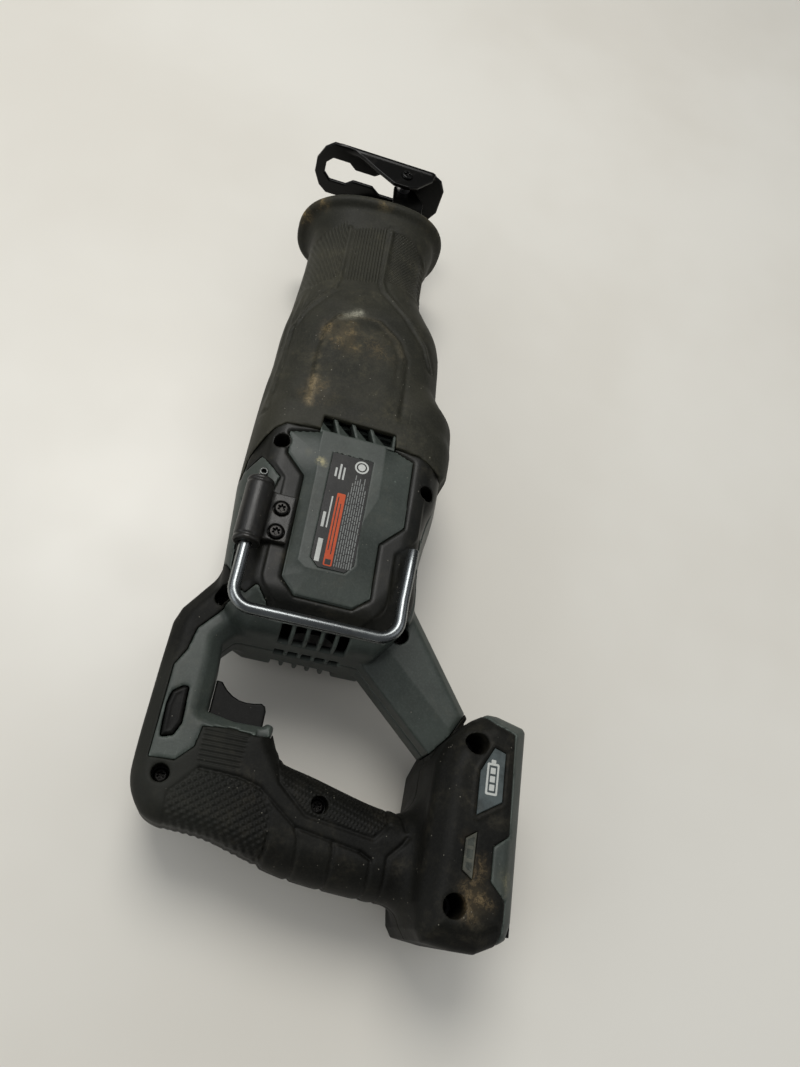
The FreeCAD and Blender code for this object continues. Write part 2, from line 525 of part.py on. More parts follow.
# ---------------------------------------------------------------- plunger, yoke and blade clamp
SLOT_W = ROLLER_R + 3.15        # half width of the yoke slot
BLADE_PIN_X = PLUNGER_TIP - 14
yoke = box(PIN_X - 12.0, PIN_X + 12.0, -22.6, 22.6, 122.0, 136.0)
yoke = yoke.cut(box(PIN_X - SLOT_W, PIN_X + SLOT_W, -19.4, 19.4, 120, 140))
rod = cyl(PLUNGER_R, (PIN_X + 10.5, 0, BLADE_Z), X, PLUNGER_TIP - PIN_X - 10.5)
rod = rod.cut(box(PLUNGER_TIP - 20, PLUNGER_TIP + 1, -0.9, 0.9, BLADE_Z - 6.6, BLADE_Z + 6.6))
pin_hole = cyl(1.65, (BLADE_PIN_X, 0.9, BLADE_Z), Y, 8)
export("plunger", refined(yoke.fuse(rod)).cut(pin_hole))
add("blade_pin", cyl(1.6, (BLADE_PIN_X, 1.0, BLADE_Z), Y, 6.2).common(
    cyl(PLUNGER_R - 0.1, (PLUNGER_TIP - 20, 0, BLADE_Z), X, 12)))

# collar: ring groove near the rear, eighteen grip flutes, one lug
collar = tube(12.5, PLUNGER_BORE_R, (304, 0, BLADE_Z), X, 25.0)
collar = collar.cut(tube(14, 10.9, (306.0, 0, BLADE_Z), X, 4.0))
collar = collar.cut(fuse(around(cyl(1.1, (311.0, 13.0, 0), X, 14), 18, BLADE_Z)))
collar = collar.fuse(turned(box(312, 324, -3.2, 3.2, 10.5, 14.6), -62, BLADE_Z))
add("clamp_collar", largest_solid(collar.cut(cyl(PLUNGER_BORE_R, (300, 0, BLADE_Z), X, 40))))
add("clamp_retaining_ring", tube(9.6, PLUNGER_BORE_R, (329.1, 0, BLADE_Z), X, 0.85).cut(
    box(325, 335, -0.9, 0.9, BLADE_Z - 6.6, BLADE_Z + 6.6)))

# ---------------------------------------------------------------- shoe post
POST_WALL, POST_TOP = 2.4, 2.6      # thickness of the post's sides and top
CHEEK = [(366, 92), (366, 111), (387.5, 113), (393.0, 109.5), (393.4, 105.5), (391.5, 102.0),
         (380, 92)]                 # X, Z
pivot_bore = cyl(PIVOT_BORE_R, (PIVOT_X, -30, PIVOT_Z), Y, 60)
post = box(250, 374, -POST_Y, POST_Y, POST_Z0, POST_Z1)
post = post.cut(box(249, 384, -POST_Y + POST_WALL, POST_Y - POST_WALL,
                    POST_Z0 - 1, POST_Z1 - POST_TOP))
post = post.cut(box(367, 400, -20, 20, 80, 120))
post = post.fuse([prism(CHEEK, -POST_Y, -POST_Y + POST_WALL),
                  prism(CHEEK, POST_Y - POST_WALL, POST_Y)])
post = post.fuse(box(366.5, 372.0, -POST_Y, POST_Y, POST_Z1 - POST_TOP, POST_Z1))
post = post.cut(pivot_bore)
# depth holes in the left side for the release pin
post = post.cut(fuse([cyl(2.3, (x, 4, RELEASE_Z), Y, 8) for x in (260, 266, 272, 278)]))
add("shoe_post", largest_solid(post))

# ---------------------------------------------------------------- shoe plate and pivot
# outlines seen along X: Z, Y
SHOE = [(166.0, 5.5), (166.0, -5.5), (162.0, -15.0), (156.5, -20.0), (91.0, -20.0),
        (83.5, -16.0), (80.0, -9.0), (80.0, 9.0), (83.5, 16.0), (91.0, 20.0),
        (156.5, 20.0), (162.0, 15.0)]
WINDOW_LEFT = [(159.5, 4.0), (155.5, 8.8), (144.6, 8.8), (140.0, 4.5), (126.6, 4.5),
               (121.0, 9.2), (109.0, 9.2), (106.5, 7.0)]
WINDOW = WINDOW_LEFT + [(z, -y) for z, y in reversed(WINDOW_LEFT)]
EAR = [(SHOE_X - 2.0, 152), (SHOE_X - 2.0, 89), (391, 90), (380, 99), (377.5, 104),
       (377.5, 114), (385, 128)]    # X, Z
shoe = face([(SHOE_X - 2.6, y, z) for z, y in SHOE]).extrude(V(2.6, 0, 0))
shoe = shoe.cut(face([(SHOE_X - 5, y, z) for z, y in WINDOW]).extrude(V(10, 0, 0)))
shoe = shoe.fuse([prism(EAR, 17.4, 20.0), prism(EAR, -20.0, -17.4)])
add("shoe_plate", largest_solid(shoe.cut(pivot_bore)))
add("shoe_pin", cyl(3.0, (PIVOT_X, -20.4, PIVOT_Z), Y, 40.8).fuse(
    [cyl(3.9, (PIVOT_X, y, PIVOT_Z), Y, 1.6) for y in (20.1, -21.7)]))
add("shoe_spacers", compound([tube(4.6, PIVOT_BORE_R, (PIVOT_X, y, PIVOT_Z), Y, 8.0)
                              for y in (9.2, -17.2)]))
add("shoe_release_pin", cyl(3.0, (RELEASE_X, 12.2, RELEASE_Z), Y, 13.4).fuse(
    cyl(1.9, (RELEASE_X, 9.3, RELEASE_Z), Y, 3.0)))
add("shoe_release_button", cyl(6.0, (RELEASE_X, 25.65, RELEASE_Z), Y, 8.9))

# ---------------------------------------------------------------- trigger, switch, lock button
TRIGGER = [(22.5, 119.2), (36.4, 119.2), (38.0, 121.0), (37.4, 127.5), (37.7, 132.0),
           (40.0, 137.0), (44.6, 141.8), (44.9, 143.9), (22.5, 143.9)]
add("trigger", chamfer_prism(TRIGGER, 8.0, 1.2).fuse(box(17.5, 23.5, -4, 4, 126, 137)))
add("switch_module", box(-6.5, 8.0, -9.5, 9.5, 118, 143).fuse(box(8.0, 9.0, -6, 6, 121, 140)))
add("lock_button", prism(LOCK, -HANDLE_W - 0.6, HANDLE_W + 3.4))

# ---------------------------------------------------------------- electronics and terminals
# the module is cut away round the foot screws
add("control_module", box(-27.0, 27.0, -24.0, 24.0, 18.2, 34.0).cut(
    fuse([cyl(7.2, (x, -30, z), Y, 60) for x, z, kind in SCREWS if kind == "foot"])))
add("battery_rails", compound([box(-41.5, 37.5, s * 24.4 - 2.5, s * 24.4 + 2.5, 0.15, 4.6)
                               for s in SIDES]))
add("terminal_block", box(4.0, 37.6, -17, 17, 7.4, 13.9))
add("terminal_blades", compound([box(-18.0, 3.9, y - 0.4, y + 0.4, 7.8, 13.4)
                                 for y in (-14, -7, 0, 7, 14)]))


# ---------------------------------------------------------------- leads
def lead(points, radius):
    """Straight runs with a ball at each bend."""
    parts = []
    for start, end in zip(points, points[1:]):
        run = V(*end) - V(*start)
        parts.append(cyl(radius, start, run, run.Length))
    return fuse(parts + [Part.makeSphere(radius, V(*p)) for p in points[1:-1]])


add("battery_leads", compound([
    lead([(-14, y, 34.3), (-16, y, 50), (-10, y, 76), (-12.5, y, 100),
          (-1.5, y * 0.6, 112), (0, y * 0.6, 117.4)], 1.4) for y in (-7.5, 7.5)]))
add("motor_leads", compound([
    lead([(3 + y * 0.4, y, 143.5), (4 + y * 0.4, y, 150), (30, y, 152.4), (60, y, 157.2),
          (84, y, 157.7), (92, y, 152.8), (95.8, y, 139.2)], 1.1) for y in (-5.0, 0, 5.0)]))

# ---------------------------------------------------------------- hook bracket
barrel = tube(6.6, WIRE_BORE_R, (98.5, HOOK_Y, HOOK_Z), X, 33.5)
base = prism([(104, 128.6), (128.5, 128.6), (128.5, 142.4), (104, 142.4)], -43.4, -40.05)
link = face([(104, -43.4, 141.0), (104, -40.05, 141.0), (104, HOOK_Y + 5.4, HOOK_Z - 2.0),
             (104, HOOK_Y - 1.0, HOOK_Z - 6.3)]).extrude(V(24.5, 0, 0))
bracket = barrel.fuse([base, link]).cut(cyl(WIRE_BORE_R, (90, HOOK_Y, HOOK_Z), X, 50))
for radius, length in ((2.1, 20), (4.0, 8.2)):      # screw holes, then head recesses
    bracket = bracket.cut(fuse([cyl(radius, (x, -50, HOOK_SCREW_Z), Y, length)
                                for x in HOOK_SCREW_X]))
add("hook_bracket", largest_solid(bracket.cut(full_with_panels)))
add("hook_screws", compound([
    cyl(3.6, (x, -44.2, HOOK_SCREW_Z), Y, 2.3).fuse(cyl(1.5, (x, -42, HOOK_SCREW_Z), Y, 15)).cut(
        cyl(1.5, (x, -44.4, HOOK_SCREW_Z), Y, 1.3)) for x in HOOK_SCREW_X]))

# ---------------------------------------------------------------- hook wire and end clip
BEND_R = 9.5
WIRE_FRONT_X, WIRE_REAR_X, WIRE_LOW_Z = 134.0, 68.0, 70.6
CLIP_X, CLIP_R = 136.2, 2.6


def wire_line(x0, z0, x1, z1):
    return Part.makeLine(V(x0, HOOK_Y, z0), V(x1, HOOK_Y, z1))


def wire_bend(x, z, start, end):
    """Bend centred on x, z between two angles in degrees."""
    points = [V(x + BEND_R * math.cos(math.radians(a)), HOOK_Y,
                z + BEND_R * math.sin(math.radians(a))) for a in (start, (start + end) / 2, end)]
    return Part.Arc(*points).toShape()


bend_x, upper_z, lower_z = WIRE_REAR_X + BEND_R, HOOK_Z - BEND_R, WIRE_LOW_Z + BEND_R
path = Part.Wire([wire_line(WIRE_FRONT_X, HOOK_Z, bend_x, HOOK_Z),
                  wire_bend(bend_x, upper_z, 90, 180),
                  wire_line(WIRE_REAR_X, upper_z, WIRE_REAR_X, lower_z),
                  wire_bend(bend_x, lower_z, 180, 270),
                  wire_line(bend_x, WIRE_LOW_Z, 114.5, WIRE_LOW_Z)])
section = Part.Wire(Part.makeCircle(WIRE_R, V(WIRE_FRONT_X, HOOK_Y, HOOK_Z), V(*X)))
# the clip stands across the front end of the wire, which is hollowed to fit it
add("hook_wire", largest_solid(path.makePipeShell([section], True, False).cut(
    cyl(CLIP_R, (CLIP_X, HOOK_Y - 5, HOOK_Z), Y, 10))))
add("hook_end_clip", tube(CLIP_R, 1.2, (CLIP_X, HOOK_Y - 2.9, HOOK_Z), Y, 5.6))
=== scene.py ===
import bpy, json, math
import numpy as np
from mathutils import Vector, Matrix


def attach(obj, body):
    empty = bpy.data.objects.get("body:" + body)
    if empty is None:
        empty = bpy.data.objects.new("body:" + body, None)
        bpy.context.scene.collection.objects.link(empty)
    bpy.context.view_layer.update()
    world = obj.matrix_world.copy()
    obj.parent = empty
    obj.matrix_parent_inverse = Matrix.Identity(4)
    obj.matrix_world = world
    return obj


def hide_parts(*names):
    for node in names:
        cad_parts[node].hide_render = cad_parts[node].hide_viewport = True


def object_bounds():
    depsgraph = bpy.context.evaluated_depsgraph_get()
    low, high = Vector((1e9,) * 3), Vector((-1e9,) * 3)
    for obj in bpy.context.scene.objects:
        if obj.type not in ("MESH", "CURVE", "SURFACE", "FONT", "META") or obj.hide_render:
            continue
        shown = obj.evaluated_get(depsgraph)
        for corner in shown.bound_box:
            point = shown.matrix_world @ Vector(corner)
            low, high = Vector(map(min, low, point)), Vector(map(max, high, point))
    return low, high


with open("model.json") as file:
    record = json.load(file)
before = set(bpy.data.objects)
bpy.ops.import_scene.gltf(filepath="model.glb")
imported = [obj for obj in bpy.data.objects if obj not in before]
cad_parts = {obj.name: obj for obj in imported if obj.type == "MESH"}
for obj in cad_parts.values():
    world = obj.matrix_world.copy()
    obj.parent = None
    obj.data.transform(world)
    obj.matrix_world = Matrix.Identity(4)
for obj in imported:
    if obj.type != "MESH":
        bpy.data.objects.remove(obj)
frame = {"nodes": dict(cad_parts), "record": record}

CAD_LO, CAD_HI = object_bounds()
F32 = np.float32


# ================================================================ field modelling kit (millimetres)
class Grid:
    """Regular grid; w is the distance from the centre plane towards one side, y = side * w."""

    def __init__(self, lo, hi, h):
        n = [int(math.ceil((b - a) / h)) + 1 for a, b in zip(lo, hi)]
        ax = [a + h * np.arange(k) for a, k in zip(lo, n)]
        self.lo, self.h, self.n = lo, h, n
        self.x = ax[0].reshape(-1, 1, 1).astype(F32)
        self.w = ax[1].reshape(1, -1, 1).astype(F32)
        self.z = ax[2].reshape(1, 1, -1).astype(F32)

    def poly(self, pts):
        """Signed distance to a closed outline in XZ, negative inside."""
        return poly2(self.x[:, 0, :], self.z[:, 0, :], pts)[:, None, :]

    def line(self, pts):
        return line2(self.x[:, 0, :], self.z[:, 0, :], pts)[:, None, :]


def seg2(x, z, a, b):
    ex, ez = b[0] - a[0], b[1] - a[1]
    wx, wz = x - a[0], z - a[1]
    t = np.clip((wx * ex + wz * ez) / (ex * ex + ez * ez), 0, 1)
    return (wx - ex * t) ** 2 + (wz - ez * t) ** 2


def line2(x, z, pts):
    d = None
    for a, b in zip(pts, pts[1:]):
        e = seg2(x, z, a, b)
        d = e if d is None else np.minimum(d, e)
    return np.sqrt(d).astype(F32)


def poly2(x, z, pts):
    x, z = np.broadcast_arrays(x, z)
    d = np.full(x.shape, 1e9, F32)
    inside = np.zeros(x.shape, bool)
    n = len(pts)
    for i in range(n):
        a, b = pts[i], pts[(i + 1) % n]
        d = np.minimum(d, seg2(x, z, a, b))
        if a[1] != b[1]:
            c = ((a[1] > z) != (b[1] > z)) & (x < (b[0] - a[0]) * (z - a[1]) / (b[1] - a[1]) + a[0])
            inside ^= c
    return np.where(inside, -np.sqrt(d), np.sqrt(d)).astype(F32)


def smin(a, b, k):
    if k <= 0:
        return np.minimum(a, b)
    h = np.maximum(k - np.abs(a - b), 0) / k
    return np.minimum(a, b) - h * h * k * 0.25


def smax(a, b, k):
    return -smin(-a, -b, k)


def sstep(a, b, v):
    t = np.clip((v - a) / (b - a), 0, 1)
    return t * t * (3 - 2 * t)


def rounded(d2, w, half, r):
    """Outline extruded to +-half with edges rounded by r (r may vary)."""
    a, b = d2 + r, np.abs(w) - (half - r)
    return np.minimum(np.maximum(a, b), 0) + np.sqrt(np.maximum(a, 0) ** 2 + np.maximum(b, 0) ** 2) - r


def chamfered(d2, w, half, c, k):
    a = smax(d2 + 0 * w, np.abs(w) - half, k)
    return smax(a, (d2 + np.abs(w) - (half - c)) * F32(0.70711), k)


def cylw(g, cx, cz, r):
    return np.sqrt((g.x - cx) ** 2 + (g.z - cz) ** 2) - r


def surface(f, g):
    """Surface nets: vertices (grid frame) and quads of the zero level of f."""
    s = f < 0
    n0, n1, n2 = f.shape
    cell_ids, pts, quads_src = [], [], []
    for ax in range(3):
        sl0 = [slice(None)] * 3
        sl1 = [slice(None)] * 3
        sl0[ax], sl1[ax] = slice(0, -1), slice(1, None)
        cross = s[tuple(sl0)] != s[tuple(sl1)]
        idx = np.argwhere(cross)
        if not len(idx):
            continue
        nxt = idx.copy()
        nxt[:, ax] += 1
        f0 = f[idx[:, 0], idx[:, 1], idx[:, 2]].astype(float)
        f1 = f[nxt[:, 0], nxt[:, 1], nxt[:, 2]].astype(float)
        p = idx.astype(float)
        p[:, ax] += f0 / (f0 - f1)
        o = [a for a in range(3) if a != ax]
        quad = []
        for da, db in ((0, 0), (1, 0), (1, 1), (0, 1)):
            c = idx.copy()
            c[:, o[0]] -= da
            c[:, o[1]] -= db
            quad.append(c)
        quad = np.stack(quad, 1)
        ok = ((idx[:, o[0]] > 0) & (idx[:, o[1]] > 0) & (idx[:, o[0]] < f.shape[o[0]] - 1) & (idx[:, o[1]] < f.shape[o[1]] - 1))
        quad, p, f0 = quad[ok], p[ok], f0[ok]
        ids = (quad[..., 0] * n1 + quad[..., 1]) * n2 + quad[..., 2]
        flip = (f0 > 0) if ax != 1 else (f0 < 0)
        ids[flip] = ids[flip][:, ::-1]
        quads_src.append(ids)
        cell_ids.append(ids.ravel())
        pts.append(np.repeat(p, 4, axis=0))
    cid, pts, quads = np.concatenate(cell_ids), np.concatenate(pts), np.concatenate(quads_src)
    uniq, inv = np.unique(cid, return_inverse=True)
    cnt = np.bincount(inv)
    v = np.stack([np.bincount(inv, weights=pts[:, a]) / cnt for a in range(3)], 1)
    return v * g.h + np.array(g.lo), inv.reshape(-1, 4)


def to_object(name, v, faces, side=1):
    """Mesh object from vertices (x, w, z) in mm; side -1 puts it on the -Y side."""
    v = np.asarray(v, float).copy()
    v[:, 1] *= side
    faces = np.asarray(faces)
    if side < 0:
        faces = faces[:, ::-1]
    me = bpy.data.meshes.new(name)
    me.vertices.add(len(v))
    me.vertices.foreach_set("co", (v * 0.001).astype(F32).ravel())
    k = faces.shape[1]
    me.loops.add(faces.size)
    me.loops.foreach_set("vertex_index", faces.astype(np.int32).ravel())
    me.polygons.add(len(faces))
    me.polygons.foreach_set("loop_start", np.arange(0, faces.size, k, dtype=np.int32))
    me.polygons.foreach_set("loop_total", np.full(len(faces), k, np.int32))
    me.polygons.foreach_set("use_smooth", np.ones(len(faces), bool))
    me.update(calc_edges=True)
    me.validate()
    ob = bpy.data.objects.new(name, me)
    bpy.context.scene.collection.objects.link(ob)
    return ob


def piece(name, f, g, body, mat, nodes=(), side=1, limit=95000, mesh=None):
    v, q = mesh if mesh is not None else surface(f, g)
    ob = to_object(name, v, q, side)
    ob.data.materials.append(mat)
    if len(q) > limit:
        m = ob.modifiers.new("thin", "DECIMATE")
        m.ratio = limit / len(q)
    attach(ob, body)
    if nodes:
        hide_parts(*nodes)
    print("piece", name, len(q))
    return ob


def mark(ob, name, fn):
    """Store fn(x, |y|, z) in mm at every vertex, for the materials' ribbed areas, scars, and painted shade and light
    masks.
    """
    n = len(ob.data.vertices)
    co = np.empty(n * 3, np.float32)
    ob.data.vertices.foreach_get("co", co)
    co = co.reshape(-1, 3) * 1000
    a = ob.data.attributes.new(name, "FLOAT", "POINT")
    a.data.foreach_set("value", np.ascontiguousarray(fn(co[:, 0], co[:, 1], co[:, 2]), np.float32))


def inside(pts, soft=0.7):
    return lambda x, y, z: sstep(soft, -soft, poly2(x[:, None], z[:, None], pts)[:, 0])


def near(pts, r, side=-1):
    return lambda x, y, z: np.exp(-(line2(x[:, None], z[:, None], pts)[:, 0] / r) ** 2) * (y * side > 20)


# ================================================================ materials
def srgb(r, g, b):
    f = lambda c: c / 12.92 if c <= 0.04045 else ((c + 0.055) / 1.055) ** 2.4
    return (f(r / 255), f(g / 255), f(b / 255), 1.0)


class Mat:
    def __init__(self, name):
        self.m = bpy.data.materials.new(name)
        self.m.use_nodes = True
        self.t = self.m.node_tree
        self.t.nodes.clear()
        self.out = self.t.nodes.new("ShaderNodeOutputMaterial")
        self.b = self.t.nodes.new("ShaderNodeBsdfPrincipled")
        self.t.links.new(self.b.outputs[0], self.out.inputs[0])
        self.geo = self.t.nodes.new("ShaderNodeNewGeometry")
        self.tc = self.t.nodes.new("ShaderNodeTexCoord")
        self.pos = self.tc.outputs["Object"]

    def n(self, kind, **kw):
        nd = self.t.nodes.new("ShaderNode" + kind)
        for k, v in kw.items():
            setattr(nd, k, v)
        return nd

    def link(self, a, b):
        self.t.links.new(a, b)

    def noise(self, scale, detail=4, rough=0.6, vec=None, dist=0.0):
        nd = self.n("TexNoise")
        nd.inputs["Scale"].default_value = scale
        nd.inputs["Detail"].default_value = detail
        nd.inputs["Roughness"].default_value = rough
        nd.inputs["Distortion"].default_value = dist
        self.link(vec if vec is not None else self.pos, nd.inputs["Vector"])
        return nd.outputs["Fac"]

    def ramp(self, fac, a, b, va=0.0, vb=1.0):
        nd = self.n("MapRange")
        nd.interpolation_type = "SMOOTHSTEP"
        nd.inputs["From Min"].default_value = a
        nd.inputs["From Max"].default_value = b
        nd.inputs["To Min"].default_value = va
        nd.inputs["To Max"].default_value = vb
        self.link(fac, nd.inputs["Value"])
        return nd.outputs["Result"]

    def math(self, op, a, b=None):
        nd = self.n("Math", operation=op)
        for i, v in enumerate((a, b)):
            if v is None:
                continue
            if isinstance(v, (int, float)):
                nd.inputs[i].default_value = v
            else:
                self.link(v, nd.inputs[i])
        return nd.outputs[0]

    def mix(self, fac, a, b):
        nd = self.n("Mix", data_type="RGBA")
        ins = [i for i in nd.inputs if i.enabled]
        for sock, v in ((nd.inputs[0], fac), (nd.inputs[6], a), (nd.inputs[7], b)):
            if isinstance(v, (int, float)):
                sock.default_value = v
            elif isinstance(v, tuple):
                sock.default_value = v
            else:
                self.link(v, sock)
        return nd.outputs[2]

    def blob(self, c, r, soft=1.0):
        """1 inside a patch round the point c (mm), radius r (mm), fading out."""
        nd = self.n("VectorMath", operation="DISTANCE")
        self.link(self.pos, nd.inputs[0])
        nd.inputs[1].default_value = tuple(v / 1000 for v in c)
        return self.ramp(nd.outputs["Value"], r / 1000 * (1 - soft), r / 1000, 1.0, 0.0)

    def bump(self, h, strength, dist, prev=None):
        nd = self.n("Bump")
        nd.inputs["Strength"].default_value = strength
        nd.inputs["Distance"].default_value = dist
        self.link(h, nd.inputs["Height"])
        if prev is not None:
            self.link(prev, nd.inputs["Normal"])
        return nd.outputs[0]


def moulded(name, base, light, rough=0.5, grain=0.25, dust=0.25, dustcol=(120, 112, 92), wear_and_highlight=0.5, blobs=(), tan=(150, 128, 88),
            spec=0.4, scale=1.0, streak=0.0, ribs=(), scars_and_highlight=(), painted_inner_shade=False, painted_lift=()):
    """Moulded plastic or rubber: blotchy tone, fine grain, dust in patches, pale convex edges (partly rubbed, partly
    painted highlight), painted shade in creases, tan smudges; optionally painted shade inside, painted light on a
    marked area and painted highlight on rib crests.
    """
    m = Mat(name)
    big = m.ramp(m.noise(22 * scale, 5, 0.65), 0.35, 0.68)
    col = m.mix(big, srgb(*base), srgb(*light))
    fine = m.noise(900, 3, 0.7)
    col = m.mix(m.math("MULTIPLY", m.ramp(fine, 0.4, 0.75), 0.22), col, srgb(*[min(255, c + 22) for c in light]))
    # dust: broad patches broken up by a finer noise
    patch = m.math("MULTIPLY", m.ramp(m.noise(38 * scale, 6, 0.7, dist=0.6), 0.46, 0.74), m.ramp(m.noise(260, 5, 0.75), 0.35, 0.7))
    col = m.mix(m.math("MULTIPLY", patch, dust), col, srgb(*dustcol))
    # specks
    vor = m.n("TexVoronoi")
    vor.inputs["Scale"].default_value = 420
    m.link(m.pos, vor.inputs["Vector"])
    speck = m.math("MULTIPLY", m.ramp(vor.outputs["Distance"], 0.06, 0.14, 1.0, 0.0), m.ramp(m.noise(120, 2), 0.56, 0.62))
    col = m.mix(m.math("MULTIPLY", speck, 0.35 + 0.4 * dust), col, srgb(150, 146, 132))
    # convex edges painted pale: partly rub, partly painted highlight
    edge = m.ramp(m.geo.outputs["Pointiness"], 0.515, 0.60)
    rub_and_highlight = m.math("MULTIPLY", edge, m.ramp(m.noise(150, 5, 0.7), 0.3, 0.62))
    col = m.mix(m.math("MULTIPLY", rub_and_highlight, wear_and_highlight), col, srgb(*[min(255, int(c * 1.9 + 18)) for c in light]))
    # painted shade: concave creases (low pointiness) darkened towards a dark copy of the base colour
    painted_crease_shade = m.ramp(m.geo.outputs["Pointiness"], 0.42, 0.49, 1.0, 0.0)
    col = m.mix(m.math("MULTIPLY", painted_crease_shade, 0.55), col, srgb(*[int(c * 0.45) for c in base]))
    for c, r, a in blobs:
        b0 = m.blob(c, r)
        col = m.mix(m.math("MULTIPLY", m.math("MULTIPLY", b0, m.ramp(m.noise(60, 4, 0.6), 0.30, 0.70)), a * 0.22), col, srgb(*tan))
        k = m.math("MULTIPLY", m.ramp(m.noise(110, 4, 0.65), 0.44, 0.60), m.ramp(m.noise(620, 5, 0.8), 0.42, 0.58))
        col = m.mix(m.math("MULTIPLY", m.math("MULTIPLY", b0, k), a * 0.85), col, srgb(*tan))
    # long scuffs
    mp = m.n("Mapping")
    mp.inputs["Scale"].default_value = (60, 400, 900)
    mp.inputs["Rotation"].default_value = (0.3, 0.5, 0.2)
    m.link(m.pos, mp.inputs["Vector"])
    sc = m.ramp(m.noise(1.0, 3, 0.5, vec=mp.outputs[0]), 0.70, 0.76)
    col = m.mix(m.math("MULTIPLY", sc, 0.18 + streak), col, srgb(*[min(255, int(c * 1.5 + 14)) for c in light]))
    m.link(col, m.b.inputs["Base Color"])
    r = m.math("ADD", m.math("MULTIPLY", m.noise(70, 4), 0.22), rough - 0.10)
    r = m.math("ADD", r, m.math("MULTIPLY", patch, 0.2 * dust))
    m.link(r, m.b.inputs["Roughness"])
    m.b.inputs["Specular IOR Level"].default_value = spec
    g1 = m.bump(m.noise(1500, 2, 0.5), grain, 0.00012)
    g2 = m.bump(m.noise(160, 3, 0.6), grain * 0.5, 0.0003, g1)
    if ribs:
        sep = m.n("SeparateXYZ")
        m.link(m.pos, sep.inputs[0])
        high = None
        for attr, waves, depth in ribs:
            at = m.n("Attribute", attribute_name=attr)
            h = None
            for ax, az, pitch in waves:
                k = 2 * math.pi * 1000 / pitch / math.hypot(ax, az)
                ph = m.math("ADD", m.math("MULTIPLY", sep.outputs[0], ax * k), m.math("MULTIPLY", sep.outputs[2], az * k))
                sn = m.math("ADD", m.math("MULTIPLY", m.math("SINE", ph), 0.5), 0.5)
                h = sn if h is None else m.math("MULTIPLY", h, sn)
            h = m.math("MULTIPLY", m.math("MULTIPLY", h, at.outputs["Fac"]), depth)
            high = h if high is None else m.math("ADD", high, h)
        g2 = m.bump(high, 1.0, 0.001, g2)
        # painted highlight: rib crests tinted lighter along the bump's height
        col = m.mix(m.math("MULTIPLY", high, 0.9), col, srgb(*[min(255, c + 16) for c in light]))
    # painted shade: the shell's inner surfaces, deeper than its outer skin, are darkened nearly to black
    if painted_inner_shade:
        at = m.n("Attribute", attribute_name="painted_inner_shade")
        col = m.mix(m.math("MULTIPLY", at.outputs["Fac"], 0.85), col, srgb(9, 10, 9))
    # painted light: the marked area is tinted lighter, as the light falls on it
    for attr, c, a in painted_lift:
        at = m.n("Attribute", attribute_name=attr)
        col = m.mix(m.math("MULTIPLY", at.outputs["Fac"], a), col, srgb(*c))
    # tan scars, pale chips, and a pale band that is partly rub and partly painted highlight, each broken up by noise
    for attr, c, a in scars_and_highlight:
        at = m.n("Attribute", attribute_name=attr)
        k = m.math("MULTIPLY", at.outputs["Fac"], m.math("MULTIPLY", m.ramp(m.noise(45, 4, 0.7), 0.36, 0.62), m.ramp(m.noise(560, 6, 0.85), 0.36, 0.62, 0.15, 1.0)))
        col = m.mix(m.math("MULTIPLY", k, a), col, srgb(*c))
    m.link(col, m.b.inputs["Base Color"])
    m.link(g2, m.b.inputs["Normal"])
    return m.m


def metal(name, base, rough=0.3, dirt=0.3, dirtcol=(45, 38, 30), stretch=(1, 1, 1), metallic=1.0, coat=0.0, streaks=0.3, spec=0.5):
    m = Mat(name)
    mp = m.n("Mapping")
    mp.inputs["Scale"].default_value = stretch
    m.link(m.pos, mp.inputs["Vector"])
    br = m.noise(700, 3, 0.6, vec=mp.outputs[0])
    col = m.mix(m.ramp(m.noise(30, 4), 0.3, 0.7), srgb(*base), srgb(*[int(c * 0.86) for c in base]))
    col = m.mix(m.math("MULTIPLY", m.ramp(br, 0.45, 0.7), streaks), col, srgb(*[int(c * 0.6) for c in base]))
    d = m.ramp(m.noise(110, 6, 0.75, dist=0.5), 0.52, 0.72)
    col = m.mix(m.math("MULTIPLY", d, dirt), col, srgb(*dirtcol))
    # convex edges painted lighter: partly worn metal, partly painted highlight
    edge = m.ramp(m.geo.outputs["Pointiness"], 0.52, 0.62)
    col = m.mix(m.math("MULTIPLY", edge, 0.35), col, srgb(*[min(255, int(c * 1.3 + 25)) for c in base]))
    m.link(col, m.b.inputs["Base Color"])
    m.b.inputs["Metallic"].default_value = metallic
    m.b.inputs["Specular IOR Level"].default_value = spec
    m.link(m.math("ADD", m.math("MULTIPLY", d, 0.35 * dirt + 0.1), m.math("ADD", m.math("MULTIPLY", br, 0.12), rough - 0.06)), m.b.inputs["Roughness"])
    m.b.inputs["Coat Weight"].default_value = coat
    m.b.inputs["Coat Roughness"].default_value = 0.15
    m.link(m.bump(br, 0.12, 0.0001), m.b.inputs["Normal"])
    return m.m


# ================================================================ outlines in XZ (mm)
HND = [(110, 148), (96.3, 152.6), (73.4, 167.8), (66, 170), (45, 170.3), (6.5, 170.3), (-6.5, 169.4), (-16, 163.6), (-19.5, 158.5),
       (-21, 152), (-21.4, 142), (-22.4, 133), (-25.6, 121), (-29.3, 109), (-32.2, 98), (-34, 84), (-35, 70), (-36, 53), (-36.8, 45),
       (-39, 38), (-40, 28), (8, 28), (5.2, 42), (2.4, 48), (2.3, 53), (3.4, 62.5), (7, 77), (11, 92), (13.8, 106), (18.6, 111),
       (24.2, 113.8), (28.2, 114.4), (28.9, 117.4), (27.1, 119.4), (26.8, 132), (29, 144.8), (52.4, 144.8), (60, 145.6), (65.4, 141), (72, 132), (110, 132)]


